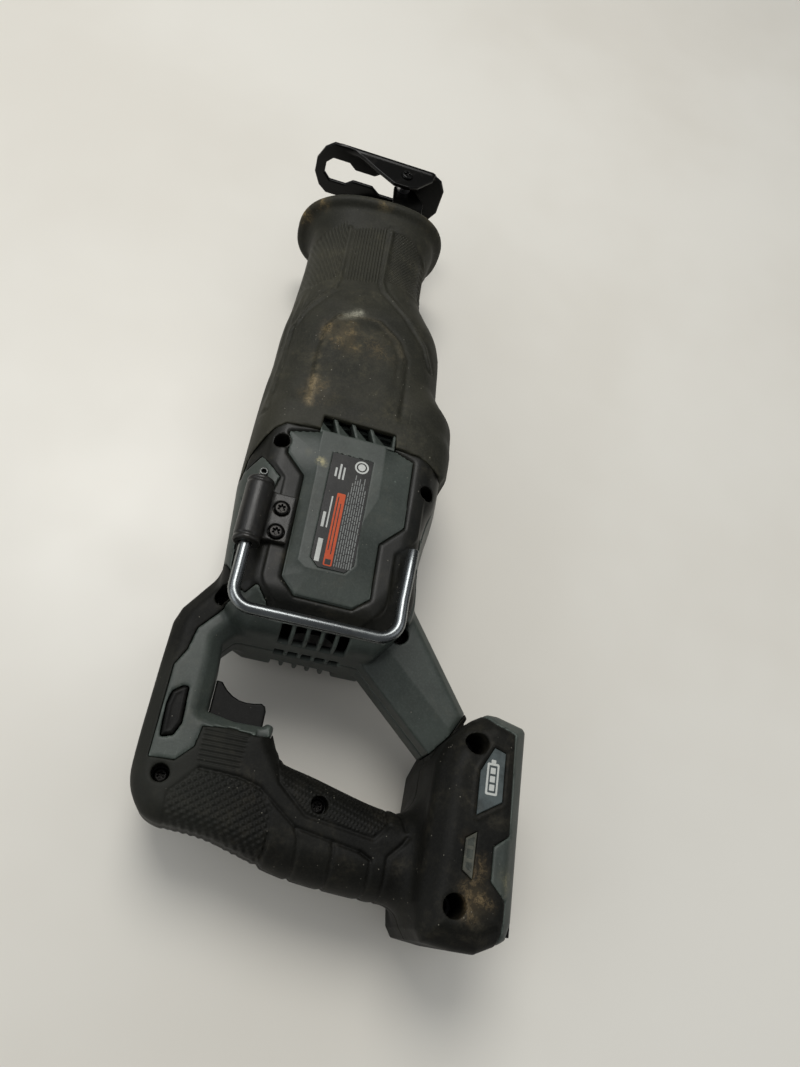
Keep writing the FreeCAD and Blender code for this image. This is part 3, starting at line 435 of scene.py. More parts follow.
def eased(pts, pick, n=2):
    """Corner cutting on the vertices that pick() selects."""
    for _ in range(n):
        out = []
        for i, p in enumerate(pts):
            a, b = pts[i - 1], pts[(i + 1) % len(pts)]
            if pick(p):
                out += [(p[0] + 0.25 * (a[0] - p[0]), p[1] + 0.25 * (a[1] - p[1])), (p[0] + 0.25 * (b[0] - p[0]), p[1] + 0.25 * (b[1] - p[1]))]
            else:
                out.append(p)
        pts = out
    return pts


HND = eased(HND, lambda p: p[0] < 12 and p[1] > 44)
BODY = [(66.2, 76), (66.2, 136), (70, 145), (80, 153), (140, 158.2), (240, 158.2), (240, 52.8), (150, 53.8), (98, 57.6), (84, 62)]
STRUT = [(103, 61.6), (49.8, 24.7), (26, 36), (63, 77), (80, 92)]
FOOT = [(-36, 0.1), (45, 0.1), (47, 1.6), (50.1, 14.6), (50, 19.5), (45.6, 26.6), (41.0, 30.6), (33.6, 37.2), (24, 41.0), (-34, 42.5), (-44, 41), (-48.4, 38),
        (-49.9, 24), (-49.9, 15), (-45, 5), (-43, 2)]
SEAM = [(140, 180), (140, 157.2), (152, 155.5), (161, 150.8), (166.5, 147), (170, 142), (170.8, 124.7), (178.6, 124.5), (178.2, 87),
        (171, 86), (170.0, 73.5), (168.2, 68.4), (164.6, 60.4), (165.4, 57.6), (169.4, 55.3), (171, 53.6), (171, 30)]
AHEAD = SEAM + [(420, 30), (420, 180)]
PANEL = [(165.2, 139), (169, 124.4), (169, 86.6), (165.2, 76), (128.2, 75.5), (116.8, 86.1), (88.1, 85.8), (81.8, 92.9), (82.2, 119.9),
         (89.5, 126.8), (143.2, 127.4), (153.5, 137.4)]
GRIP = [(96, 180), (96, 154), (86.5, 147.5), (77.5, 147), (63.6, 158.2), (53, 160.0), (45, 164.0), (4.4, 163.9), (4.9, 153.0), (11.8, 146.4),
        (21, 145), (22.8, 132), (21.4, 121.8), (22.6, 114.8), (40, 111.6), (40, 62), (25.0, 44.9), (38.9, 33.6), (52.5, 26), (60, 21.4),
        (48, 21.2), (44.2, 16.3), (41.4, 7.9), (-2.4, 6.4), (-8, 13.7), (-22.0, 13.5), (-29, 5.9), (-44, 6.2), (-62, 8), (-62, 180)]
COVER = [(73, 63), (71.5, 128), (76.5, 131), (83.6, 137), (79.5, 141.5), (86.5, 149.5), (128, 153.6), (131.5, 140.5), (139.2, 138.8), (150.5, 149.6),
         (143, 156), (166, 156), (190, 140), (190, 50), (150, 57.5), (131, 59.5), (128, 64.5), (112, 65), (104, 58.5), (86, 60)]
HOLES = {"h": 3.9, "s": 3.9, "f": 5.0, "b": 3.9}
SCREWS = [(-1.3, 157.3, "h"), (80.3, 150.5, "h"), (-2.0, 88.0, "h"), (82.0, 65.0, "s"), (34.1, 25.0, "f"), (-33.3, 28.0, "f"),
          (159.3, 142.0, "b"), (151.5, 66.0, "b")]
LOCK = [(36.4, 157.4), (36.4, 155.2), (20.5, 154.3), (15.0, 156.6), (13.5, 161.4), (27.2, 162.4), (33.2, 161.4)]
KNURL = [(-8.6, 152.2), (3.4, 142), (2.8, 124.2), (0.3, 114.9), (-7.9, 108.9), (-22.9, 107.5), (-45, 112), (-45, 151), (-20.4, 151.0)]
FINE = [(20.4, 143.6), (20.4, 124.4), (5.6, 125.6), (5.6, 143.6)]
FRONT = [(40, 108.7), (10.2, 108.7), (4.1, 106.8), (-7.2, 93.3), (-11.7, 62.3), (-4.8, 56.0), (40, 56.1)]
WRAPS = [[(-17.9, 107.5), (-60, 108.5)], [(-13.5, 96.6), (-17.7, 94.6), (-60, 92.6)], [(-16.5, 79.6), (-19.1, 79), (-60, 78.2)], [(-18.1, 67), (-20.4, 62.2), (-60, 60.4)],
         [(-9, 47), (-12, 48.9), (-18.3, 55.0), (-60, 54.6)]]
BAND = [(3.6, 142), (2.8, 124.2), (0.3, 114.9), (-13.0, 96.7), (-18.1, 67.0), (-20.4, 62.2)]
BADGE = [(33.2, 17.2), (31.6, 12.0), (10.6, 11.8), (3.6, 22.8), (22.0, 22.9)]
GAUGE = [(-3.2, 21.6), (-22.5, 21.9), (-19.3, 26.6), (-6.5, 26.5)]
GRAY2 = srgb(70, 76, 72)


BELLY_X = [60, 80, 95, 101, 115, 128, 133, 139, 146, 154, 163, 200]
BELLY_Z = [53, 54.4, 55.0, 55.4, 56.8, 56.8, 56.2, 55.3, 53.6, 52.5, 52.2, 52.0]


def outer_field(g):
    """Whole plastic body of one half, before it is split into materials."""
    d = g.poly(HND)
    flat = chamfered(d, g.w, 19.0, 6.0, 1.6)
    r = 9 + 6.5 * sstep(118, 100, g.z)
    rnd = rounded(d, g.w, 19.4, r)
    t = np.maximum(sstep(119, 108, g.z), sstep(8, -10, g.x))
    h = flat * (1 - t) + rnd * t
    b = chamfered(g.poly(BODY), g.w, 40.0, 14.0, 4.0)
    # belly rises towards the sides
    low = np.interp(g.x, BELLY_X, BELLY_Z).astype(F32) + 0.225 * g.w - g.z
    b = smax(b, low * F32(0.975), 2.0)
    s = chamfered(g.poly(STRUT), g.w, 18.8, 5.0, 1.2)
    f = chamfered(g.poly(FOOT), g.w, 37.0, 8.0, 2.5)
    # the strut's wide slope towards the hand opening
    si = (g.x - 26.0) * -0.743 + (g.z - 36.0) * 0.670
    s = smax(s, (g.w + 0.62 * si - 10.8) * F32(0.850), 0.4)
    m = smin(h, f, 9.0)
    m = smin(m, b, 3.5)
    m = smin(m, s, 1.0)
    return m


def screw_holes(g, f, grow=0.0, depth=None):
    for x, z, k in SCREWS:
        seat = {"h": 8.0, "s": 8.0, "f": 12.0, "b": 20.0}[k]
        f = np.maximum(f, -np.maximum(cylw(g, x, z, HOLES[k] + grow), seat - g.w))
    return f


def linings(g, o, zone, wmin):
    """Sleeves of the soft material down into the screw holes it surrounds."""
    out = None
    for x, z, k in SCREWS:
        seat = {"h": 8.0, "s": 8.0, "f": 12.0, "b": 20.0}[k]
        inside = poly2(np.array([[F32(x)]]), np.array([[F32(z)]]), zone)[0, 0] < 1.0
        if not inside:
            continue
        t = np.maximum(np.abs(cylw(g, x, z, HOLES[k] + 0.45)) - 0.45, np.maximum(seat + 0.6 - g.w, o + 0.1))
        out = t if out is None else np.minimum(out, t)
    return out


def vent_cut(g, f):
    # rear inlet: slots over the rear wall's rounded corner and beside the centre line
    for i in range(5):
        zc = 92.0 + i * 6.8
        zz = np.abs(g.z - zc) - 2.35
        a = np.maximum(np.maximum(zz, g.x - 76.0), np.abs(g.w - 22.5) - 7.5)
        b = np.maximum(np.maximum(zz, g.x - 71.5), np.abs(g.w - 0.4) - 3.5)
        f = np.maximum(f, -np.minimum(a, b))
    return f


def shell_field(g):
    o = outer_field(g)
    dp = g.poly(PANEL)
    f = o
    # the rubber and cover areas are let in
    let_in = np.minimum(g.poly(GRIP), np.maximum(np.maximum(g.poly(COVER), 26.5 - g.w), -(dp - 0.35)))
    f = np.maximum(f, np.minimum(-let_in, o + 2.1))
    f = np.maximum(f, -(o + 3.4))
    # outlet louvres between the panel and the boot
    zone = np.maximum(np.maximum(np.abs(g.x - 175.4) - 5.6, np.abs(g.z - 105.7) - 18.9), 29 - g.w)
    f = np.maximum(f, -zone)
    f = vent_cut(g, f)
    # screw towers
    for x, z, k in SCREWS:
        seat = {"h": 8.0, "s": 8.0, "f": 12.0, "b": 20.0}[k]
        top = {"h": 16.5, "s": 16.5, "f": 34.5, "b": 32.0}[k]
        t = np.maximum(cylw(g, x, z, HOLES[k] + 1.6), g.w - top)
        f = np.minimum(f, np.maximum(t, o + 1.4))
    f = screw_holes(g, f, 0.9)
    f = np.maximum(f, -np.maximum(cylw(g, 159.3, 142.0, 2.1), 0 * g.w - g.w))
    # trigger opening, lock button well
    f = np.maximum(f, -np.maximum(np.maximum(np.abs(g.x - 27.5) - 13.6, np.abs(g.z - 131.6) - 13.0), g.w - 8.6))
    f = np.maximum(f, -(g.poly(LOCK) - 0.45))
    # battery pocket
    f = np.minimum(f, np.maximum(np.maximum(np.maximum(np.abs(g.x + 5) - 46, g.w - 30), g.z - 17), o + 0.4))
    f = np.maximum(f, -np.maximum(np.maximum(g.x - 38, g.w - 27), g.z - 14))
    # gauge and badge wells
    for p in (BADGE, GAUGE):
        f = np.maximum(f, -np.maximum(g.poly(p) - 0.15, 35.9 - g.w))
    f = smax(f, 0.25 - g.poly(AHEAD) + 0 * g.w, 0.8)   # front edge under the boot's lip
    return np.maximum(f, 0.09 - g.w)


def knurl(g):
    u = (g.x * 0.80 + g.z * 0.60) / 2.55
    v = (-g.x * 0.62 + g.z * 0.785) / 2.55
    return 0.15 * (np.cos(2 * np.pi * u) + np.cos(2 * np.pi * v))


def groove(d, width, depth):
    return depth * np.exp(-(d / width) ** 2)


def grip_field(g):
    o = outer_field(g)
    r = o - 0.12
    dk = g.poly(KNURL)
    r = r + 0.40 * sstep(0.3, -0.6, dk) - sstep(-0.5, -1.6, dk) * knurl(g)
    df = g.poly(FINE)
    r = r + sstep(0.3, -0.5, df) * (0.28 + 0.20 * np.cos(2 * np.pi * g.x / 2.2))
    dn = g.poly(FRONT)
    r = r + sstep(0.3, -0.5, dn) * 0.25 + groove(dn, 0.6, 0.65)
    r = r + groove(g.line(BAND), 0.7, 0.85)
    r = r + groove(dk - 0.2, 0.6, 0.55)
    r = r + groove(g.line([(10.4, 109.5), (3.9, 107.5), (-7.9, 93.5), (-12.5, 62), (-5, 55)]), 0.7, 0.5)
    # palm pads between wrap grooves
    back = sstep(-17, -22, g.x) * sstep(50, 56, g.z) * sstep(110, 106, g.z)
    r = r - 0.35 * back
    for wline in WRAPS:
        r = r + groove(g.line(wline), 0.9, 0.85)
    # soft collar where the grip runs into the foot
    r = r + groove(g.line([(6, 55), (0.5, 50), (-6, 48)]), 0.8, 0.7)
    d = np.maximum(g.poly(GRIP) + 0.22, r)
    d = np.maximum(d, -(o + 2.0))
    d = np.maximum(d, -(np.maximum(np.maximum(np.abs(g.x - 27.5) - 13.6, np.abs(g.z - 131.6) - 13.0), g.w - 8.6)))
    d = screw_holes(g, d)
    # rim of each screw mouth
    for x, z, k in SCREWS:
        c = np.abs(cylw(g, x, z, HOLES[k] + 0.5))
        d = d + groove(c, 0.5, 0.25) * (g.w > 12)
    d = np.maximum(d, -(g.poly(LOCK) - 0.45))
    for p in (BADGE, GAUGE):
        d = np.maximum(d, -np.maximum(g.poly(p) - 0.15, 35.4 - g.w))
    # frame round the badge
    bd = g.poly(BADGE)
    d = d - 0.5 * np.exp(-((bd - 1.7) / 0.8) ** 2) * (g.w > 30) * (g.x < 40)
    d = np.maximum(d, -np.maximum(np.maximum(g.x - 38, g.w - 27), g.z - 14))
    d = np.minimum(d, linings(g, o, GRIP, 0.0))
    d = np.maximum(d, -(g.poly([(60, 60), (60, 20), (52.3, 26.1), (38.7, 33.3), (24.7, 44.6), (30, 62)]) - 0.0))
    # not on the motor body's sides
    d = np.maximum(d, -np.maximum(g.poly(COVER) - 0.2, 26.5 - g.w))
    return np.maximum(d, 0.09 - g.w)


def louvre_field(g):
    """Four ribs and sloping webs in the air outlet between the panel and the boot."""
    zt = 124.5
    pitch = 9.35
    top = 41.2 - 0.12 * np.clip(g.x - 169.6, 0, 20)
    area_ = np.maximum(np.abs(g.x - 174.4) - 5.6, np.abs(g.z - 105.8) - 18.7)
    f = None
    for i in range(5):
        zi = zt - pitch * i + (0.36 * np.clip(g.x - 169.3, 0, 20) if i < 4 else 0.0)
        rib = np.maximum(np.abs(g.z - zi) - 0.95, np.maximum(g.w - top, 30.5 - g.w))
        f = rib if f is None else np.minimum(f, rib)
        if i < 4:
            a = (zi - g.z) / pitch
            b = (g.x - 169.2) / 9.0
            web = np.maximum((a + b - 1.0) * 6.4, np.maximum(g.w - (top - 0.4 - 4.0 * a), (top - 7.0) - g.w))
            web = np.maximum(web, np.maximum(g.z - zi, zi - pitch - g.z))
            f = np.minimum(f, web)
    floor_ = np.abs(g.w - 30.5) - 0.9
    back = np.maximum(np.abs(g.x - 169.3) - 0.9, np.maximum(g.w - 41.2, 29.5 - g.w))
    front = np.maximum(np.abs(g.x - 179.2) - 0.9, np.maximum(g.w - 34.0, 29.5 - g.w))
    f = np.minimum(f, np.minimum(floor_, np.minimum(back, front)))
    return np.maximum(f, np.maximum(np.abs(g.x - 174.4) - 5.7, np.abs(g.z - 105.8) - 19.2))


FOLD = [(178, 92.0), (165.5, 91.0), (139.0, 90.4), (131.5, 93.0), (120.5, 97.5), (101.5, 94.5), (95.6, 98.8), (95.2, 117.6), (97.8, 121.6), (146.5, 122.4), (164.0, 123.6), (178, 123.8)]


def panel_field(g):
    """Raised side panel: flat where the label sits, long slopes behind and below it, a wing by the front screw."""
    dp = g.poly(PANEL)
    df = g.poly(FOLD)
    t = np.clip(df / (df - np.minimum(dp, -0.02) + 1e-3), 0, 1)
    top = 42.85 - 2.85 * t * sstep(-0.2, 0.8, df)
    f = smax(dp, (g.w - top) * F32(0.93), 0.25)
    lab = g.poly([(158.2, 116.7), (158.2, 95.8), (101.0, 95.8), (96.3, 99.5), (96.3, 112.5), (100.5, 116.7)])
    f = np.maximum(f, -np.maximum(lab, 42.55 - g.w))
    f = np.maximum(f, 37.5 - g.w)
    f = np.maximum(f, -np.maximum(cylw(g, 159.3, 142.0, 4.6), 30 - g.w))
    return f


def cover_field(g):
    o = outer_field(g)
    dp = g.poly(PANEL)
    r = o - 0.10
    r = r + groove(np.maximum(dp - 0.4, 0), 0.9, 0.9)
    # the cover's raised frame line round the panel
    r = r + 0.7 * sstep(8.6, 9.6, dp) * sstep(150, 140, g.x)
    d = np.maximum(np.maximum(g.poly(COVER) + 0.2, 26.7 - g.w), r)
    d = np.maximum(d, -(o + 2.0))
    d = np.maximum(d, -(dp - 0.30))
    d = np.maximum(d, -np.maximum(np.abs(g.x - 175.4) - 6.2, np.abs(g.z - 105.3) - 19.3))
    d = screw_holes(g, d)
    d = np.maximum(d, 0.25 - g.poly(AHEAD))
    d = np.minimum(d, linings(g, o, COVER, 26.7))
    return np.maximum(d, 0.09 - g.w)


# ---------------------------------------------------------------- boot
XS = [120, 160, 182, 200, 205, 212, 219, 240, 249, 258, 265, 275, 284, 300, 318, 326, 333, 360]
ZL = [53.0, 53.0, 52.6, 53.4, 54.6, 60.0, 64.4, 65.2, 65.8, 67.6, 70.2, 76.0, 81.0, 82.6, 82.8, 81.6, 79.5, 79.5]
ZH = [158.4, 158.6, 158.6, 158.4, 158.2, 157.7, 157.4, 157.6, 157.2, 156.2, 155.8, 155.4, 155.0, 154.6, 154.8, 155.4, 158.0, 158.0]
HW = [41.3, 41.5, 41.6, 41.0, 40.8, 40.2, 39.8, 38.4, 37.4, 35.4, 33.6, 31.4, 29.8, 28.6, 28.8, 29.6, 31.4, 31.4]
NE = [4.4, 4.4, 4.3, 4.0, 3.9, 3.7, 3.6, 3.3, 3.2, 3.1, 3.0, 2.9, 2.9, 2.8, 2.7, 2.6, 2.6, 2.6]


def curve1(x, ys):
    """Station values smoothed along X."""
    fine = np.arange(110.0, 372.0, 0.5)
    v = np.interp(fine, XS, ys)
    k = np.hanning(17)
    v = np.convolve(np.pad(v, 8, "edge"), k / k.sum(), "valid")
    return np.interp(x, fine, v).astype(F32)


def super_d(w, z, zc, hz, hw, n):
    u, v = np.abs(w) / hw, np.abs(z - zc) / hz
    rho = (u ** n + v ** n + 1e-9) ** (1 / n)
    return (rho - 1) * np.minimum(hw, hz) * F32(1.05)


DOME = [(150, 134), (181, 134.0), (213, 136.2), (238, 134.4), (248.5, 129), (251, 106), (240, 93.6), (229, 88.6), (206, 87.5), (150, 87)]
N_UP = [(308.5, 160), (314, 151.3), (325.7, 137.5), (321.0, 135.2), (280, 135.0), (272, 145.9), (272, 160)]
N_MID = [(320.9, 131.6), (327.0, 111.9), (284.1, 111.0), (279.5, 129.8)]
N_LOW = [(326.6, 107.6), (327.1, 97.5), (318, 80), (288, 80), (288, 106.0)]


def boot_field(g):
    zl, zh, hw, ne = (curve1(g.x, a) for a in (ZL, ZH, HW, NE))
    zc, hz = (zl + zh) / 2, (zh - zl) / 2
    f = super_d(g.w, g.z, zc, hz, hw, ne)
    # the gear housing's bulge pushes the side out
    dd = g.poly(DOME)
    side = sstep(20, 30, g.w)
    around = sstep(183, 193, g.x) * sstep(262, 250, g.x)
    f = f + side * around * 1.0
    f = f - side * (1.5 * sstep(0.7, -1.5, dd) + 1.2 * sstep(0.5, -10.0, dd)) * sstep(183, 193, g.x)
    f = f + side * groove(dd - 1.4, 1.0, 0.5) * around
    inner = np.abs(dd + 4.6)
    f = f + side * groove(inner, 0.8, 0.30) * sstep(205, 215, g.x) * sstep(112, 106, g.z)
    # creases that run forward to the neck
    A = g.line([(180, 155.0), (217, 153.4), (236.3, 153.0), (251.6, 146.9), (263.8, 138.9), (270, 134.6), (277, 133.4), (321.5, 134.2)])
    B = g.line([(233.2, 73.2), (245.4, 78.4), (263.5, 92.8), (277.8, 106.4), (286, 109.2), (326, 109.6)])
    f = f - side * (0.75 * np.exp(-(A / 0.9) ** 2) + 0.8 * np.exp(-(B / 0.9) ** 2))
    f = f + side * (0.4 * np.exp(-((A - 2.4) / 1.1) ** 2) + 0.45 * np.exp(-((B - 2.4) / 1.1) ** 2))
    top = zh - g.z
    f = f + sstep(1.0, 2.0, top) * sstep(10.5, 9.0, top) * sstep(222, 228, g.x) * sstep(268, 262, g.x) * 0.30 * np.cos(2 * np.pi * top / 3.1)
    ns = sstep(12, 17, g.w)
    f = f + ns * sstep(0.6, -0.6, g.poly(N_UP)) * 0.5
    f = f + ns * sstep(0.6, -0.6, g.poly(N_MID)) * 0.4
    f = f + ns * sstep(0.6, -0.6, g.poly(N_LOW)) * 0.8
    # underside finger ribs
    under = sstep(20, 12, g.w) * sstep(95, 90, g.z) * sstep(286, 290, g.x) * sstep(326, 322, g.x)
    f = f + under * (0.4 + 0.4 * np.cos(2 * np.pi * g.x / 4.5))
    # finger flange with a rolled lip, leaning forwards at the bottom
    xt = g.x + (g.z - 120.2) * 0.095
    fl = super_d(g.w, g.z, 120.2 + 0 * g.x, 45.4 + 0 * g.x, 35.3 + 0 * g.x, 2.45)
    lean = 0.10 * np.clip(fl + 14, 0, 14)
    disc = rounded(fl + 0.4, xt - 341.9 + lean * 0.75, 2.1, 2.0)
    bead = np.sqrt(np.clip(fl + 3.0, -9, 99) ** 2 + (xt - 341.4) ** 2) - 3.0
    body = np.maximum(f, xt - 341.0)
    f = smin(smin(disc, bead, 1.0), body, 5.0)
    # hollow
    inn = super_d(g.w, g.z, zc, hz - 3.9, hw - 3.9, ne)
    mouth = super_d(g.w, g.z, 118.9 + 0 * g.x, 35.6 + 0 * g.x, 27.9 + 0 * g.x, 2.5)
    inn = smin(inn, np.maximum(mouth, 331 - g.x), 5.0)
    f = smax(f, -inn, 1.6)
    # rear edge, and a small roll there
    return smax(f, g.poly(AHEAD) + 0.02 + 0 * g.w, 0.7)


# ================================================================ small mesh builders (mm)
def tube_mesh(path, r, seg=22, cap=0.6):
    """Round bar along a list of points, with slightly rounded ends."""
    P = [np.array(p, float) for p in path]
    rows, rads = [], []
    t0 = (P[1] - P[0]) / np.linalg.norm(P[1] - P[0])
    t1 = (P[-1] - P[-2]) / np.linalg.norm(P[-1] - P[-2])
    pts = [P[0], P[0] + t0 * cap * 0.3, P[0] + t0 * cap] + P[1:-1] + [P[-1] - t1 * cap, P[-1] - t1 * cap * 0.3, P[-1]]
    rad = [r - cap, r - cap * 0.3, r] + [r] * (len(P) - 2) + [r, r - cap * 0.3, r - cap]
    up = np.array([0, 1.0, 0])
    V, Fc = [], []
    for i, p in enumerate(pts):
        a = pts[max(i - 1, 0)]
        b = pts[min(i + 1, len(pts) - 1)]
        t = (b - a) / np.linalg.norm(b - a)
        s = up - t * (up @ t)
        s = s / np.linalg.norm(s)
        q = np.cross(t, s)
        for k in range(seg):
            an = 2 * math.pi * k / seg
            V.append(p + rad[i] * (s * math.cos(an) + q * math.sin(an)))
    for i in range(len(pts) - 1):
        for k in range(seg):
            a, b = i * seg + k, i * seg + (k + 1) % seg
            Fc.append((a, a + seg, b + seg, b))
    caps = [tuple(range(seg))[::1], tuple((len(pts) - 1) * seg + k for k in reversed(range(seg)))]
    return V, Fc, caps


def poly_object(name, V, faces, mats, idx=None, smooth=True):
    me = bpy.data.meshes.new(name)
    me.from_pydata([tuple(c * 0.001 for c in p) for p in V], [], [tuple(int(i) for i in f) for f in faces])
    for m in mats:
        me.materials.append(m)
    for i, p in enumerate(me.polygons):
        p.use_smooth = smooth
        if idx is not None:
            p.material_index = idx[i]
    me.validate()
    me.update()
    ob = bpy.data.objects.new(name, me)
    bpy.context.scene.collection.objects.link(ob)
    return ob


def prism_data(pts, y0, y1, V, Fc, idx, mat, bevel=0.0):
    """Adds an XZ outline standing from y0 to y1 (y1 is the seen face), with a bevelled rim."""
    n = len(pts)
    A = sum(pts[i][0] * pts[(i + 1) % n][1] - pts[(i + 1) % n][0] * pts[i][1] for i in range(n)) / 2
    if A < 0:
        pts = pts[::-1]
    rings = [(pts, y0), (pts, y1 - math.copysign(bevel, y1 - y0))]
    if bevel:
        q = []
        for i in range(n):
            a, b, c = pts[i - 1], pts[i], pts[(i + 1) % n]
            e1, e2 = np.array(b) - a, np.array(c) - b
            n1 = np.array([-e1[1], e1[0]]) / np.linalg.norm(e1)
            n2 = np.array([-e2[1], e2[0]]) / np.linalg.norm(e2)
            k = 1 + n1 @ n2
            q.append(tuple(np.array(b) + bevel * (n1 + n2) / max(k, 0.3)))
        rings.append((q, y1))
    base = len(V)
    for ring, y in rings:
        V += [(x, y, z) for x, z in ring]
    up = y1 < y0
    fs = []
    for r in range(len(rings) - 1):
        for i in range(n):
            a, b = base + r * n + i, base + r * n + (i + 1) % n
            fs.append((a, b, b + n, a + n) if up else (a, a + n, b + n, b))
    top = [base + (len(rings) - 1) * n + i for i in range(n)]
    bot = [base + i for i in range(n)]
    fs.append(tuple(top) if up else tuple(top[::-1]))
    fs.append(tuple(bot[::-1]) if up else tuple(bot))
    Fc += fs
    idx += [mat] * len(fs)


def circle_pts(cx, cz, r, n=32, a0=0.0):
    return [(cx + r * math.cos(a0 + 2 * math.pi * i / n), cz + r * math.sin(a0 + 2 * math.pi * i / n)) for i in range(n)]


def rrect(x0, x1, z0, z1, r, n=4):
    out = []
    for cx, cz, a in ((x1 - r, z1 - r, 0), (x0 + r, z1 - r, 90), (x0 + r, z0 + r, 180), (x1 - r, z0 + r, 270)):
        out += [(cx + r * math.cos(math.radians(a + 90 * i / n)), cz + r * math.sin(math.radians(a + 90 * i / n))) for i in range(n + 1)]
    return out


class Full(Grid):
    """Grid over both sides: w is |y|, y keeps its sign."""

    def __init__(self, lo, hi, h):
        super().__init__(lo, hi, h)
        self.y = self.w
        self.w = np.abs(self.y)


# ================================================================ finishes
TAN = (156, 134, 92)
# gray housing, with painted shade on its inner surfaces
M_GRAY = moulded("gray_housing", (46, 51, 47), (58, 64, 59), rough=0.44, dust=0.10, wear_and_highlight=0.35, spec=0.30, painted_inner_shade=True,
                 blobs=[((155.5, -43, 128.5), 3.4, 1.0), ((151.5, -43, 121.5), 3.8, 1.0), ((150, -43, 119.5), 2.7, 0.9), ((-20, -37, 6), 9, 0.5)], tan=(150, 142, 104))
# grip rubber, with painted light lifting its upper part
M_GRIP = moulded("grip_rubber", (8, 8, 6), (16, 16, 12), rough=0.58, grain=0.5, dust=0.12, wear_and_highlight=0.28, spec=0.15,
                 blobs=[((-30, -37, 20), 12, 0.8), ((-17, -37, 19), 8, 0.5), ((-6, -37, 26), 5, 0.3)], tan=(122, 104, 74),
                 painted_lift=[("painted_light_upper", (38, 39, 34), 0.55)],
                 ribs=[("knurl_area", [(0.80, 0.60, 2.55), (-0.62, 0.785, 2.55)], 0.5), ("fine_area", [(1, 0, 2.2)], 0.40),
                       ("front_area", [(0.45, 0.9, 1.7), (0.95, -0.3, 2.6)], 0.3)])
M_COVER = moulded("side_cover", (10, 11, 8), (19, 19, 14), rough=0.42, grain=0.35, dust=0.12, wear_and_highlight=0.25, spec=0.25)
M_BOOT = moulded("boot_rubber", (28, 28, 21), (43, 42, 33), rough=0.60, grain=0.6, dust=0.55, wear_and_highlight=0.35, spec=0.22,
                 dustcol=(80, 76, 59), streak=0.25,
                 blobs=[((236, -39, 127), 14, 0.9), ((226, -40, 121), 12, 0.55), ((337, -12, 164.5), 12, 1.0), ((337.5, -25, 155), 9, 0.6), ((343, -33, 118), 9, 0.5),
                        ((192, -41, 131), 13, 0.35), ((344.5, -26, 92), 8, 0.45), ((230, -40, 104), 16, 0.22)], tan=(132, 112, 74),
                 ribs=[("up_area", [(-0.38, 1, 1.9)], 0.42), ("mid_area", [(-0.03, 1, 1.75)], 0.48), ("low_area", [(0.6, 1, 1.4), (1, -0.6, 1.4)], 0.3)],
                 scars_and_highlight=[("edge_scar", (138, 122, 92), 0.9), ("edge_chip", (150, 148, 132), 0.95), ("edge_rub_and_highlight", (92, 84, 66), 0.55)])
M_BLACK = moulded("trigger_plastic", (6, 6, 5), (10, 10, 8), rough=0.46, grain=0.2, dust=0.03, wear_and_highlight=0.06, spec=0.12)
M_BARREL = moulded("hinge_black", (14, 14, 12), (24, 23, 21), rough=0.36, grain=0.6, dust=0.14, wear_and_highlight=0.45, spec=0.35)
# near-black material, used only as painted shade on the wire's cut end
M_WIRE_END_SHADE = moulded("wire_end_painted_shade", (6, 6, 5), (10, 10, 9), rough=0.6, grain=0.0, dust=0.05, wear_and_highlight=0.0, spec=0.1)
M_PALE = moulded("badge_gray", (42, 48, 49), (52, 58, 58), rough=0.45, dust=0.08, wear_and_highlight=0.2, spec=0.25)
M_LABEL = moulded("label_black", (14, 15, 14), (20, 21, 20), rough=0.35, grain=0.08, dust=0.05, wear_and_highlight=0.1, spec=0.2)
M_ORANGE = moulded("label_orange", (160, 60, 28), (172, 70, 34), rough=0.42, grain=0.08, dust=0.08, wear_and_highlight=0.1, spec=0.15)
M_WHITE = moulded("print_white", (150, 152, 147), (168, 170, 164), rough=0.4, grain=0.08, dust=0.15, wear_and_highlight=0.1, dustcol=(120, 116, 102))
M_PRINT = moulded("print_gray", (82, 85, 83), (98, 101, 98), rough=0.4, grain=0.08, dust=0.15, wear_and_highlight=0.1)
M_SHOE = metal("shoe_black", (6, 6, 5), rough=0.30, dirt=0.22, dirtcol=(34, 28, 20), metallic=0.0, coat=0.05, streaks=0.1, spec=0.16)
M_ZINC = metal("zinc_wire", (126, 130, 131), rough=0.27, dirt=0.22, dirtcol=(84, 80, 68), stretch=(1, 1, 0.3), streaks=0.18)
M_EYELET = metal("eyelet_zinc", (96, 98, 96), rough=0.36, dirt=0.30, dirtcol=(50, 46, 38), streaks=0.2)
M_STEEL = metal("bright_steel", (150, 150, 152), rough=0.33, dirt=0.25)
M_DARKST = metal("dark_steel", (70, 70, 72), rough=0.36, dirt=0.3)
M_SCREW = metal("screw_black", (30, 29, 27), rough=0.30, dirt=0.3, metallic=0.8, dirtcol=(48, 43, 34))
M_CAST = metal("cast_alloy", (158, 160, 162), rough=0.45, dirt=0.25, streaks=0.15)
M_COPPER = metal("copper_wire", (170, 96, 58), rough=0.38, dirt=0.2, stretch=(3, 3, 0.5))
M_BRONZE = metal("bronze_bush", (150, 116, 66), rough=0.45, dirt=0.3)
M_LAM = metal("laminations", (96, 97, 100), rough=0.45, dirt=0.25, stretch=(0.05, 1, 1))
M_BOARD = moulded("circuit_board", (22, 66, 34), (30, 84, 44), rough=0.35, dust=0.05)
M_POT = moulded("potting", (22, 22, 24), (34, 34, 36), rough=0.25, dust=0.05, spec=0.6)
M_LEAD = moulded("lead_jacket", (96, 20, 18), (126, 30, 24), rough=0.5, dust=0.05)
M_LENS = moulded("clear_lens", (24, 26, 23), (38, 40, 36), rough=0.18, grain=0.0, dust=0.35, spec=0.5)
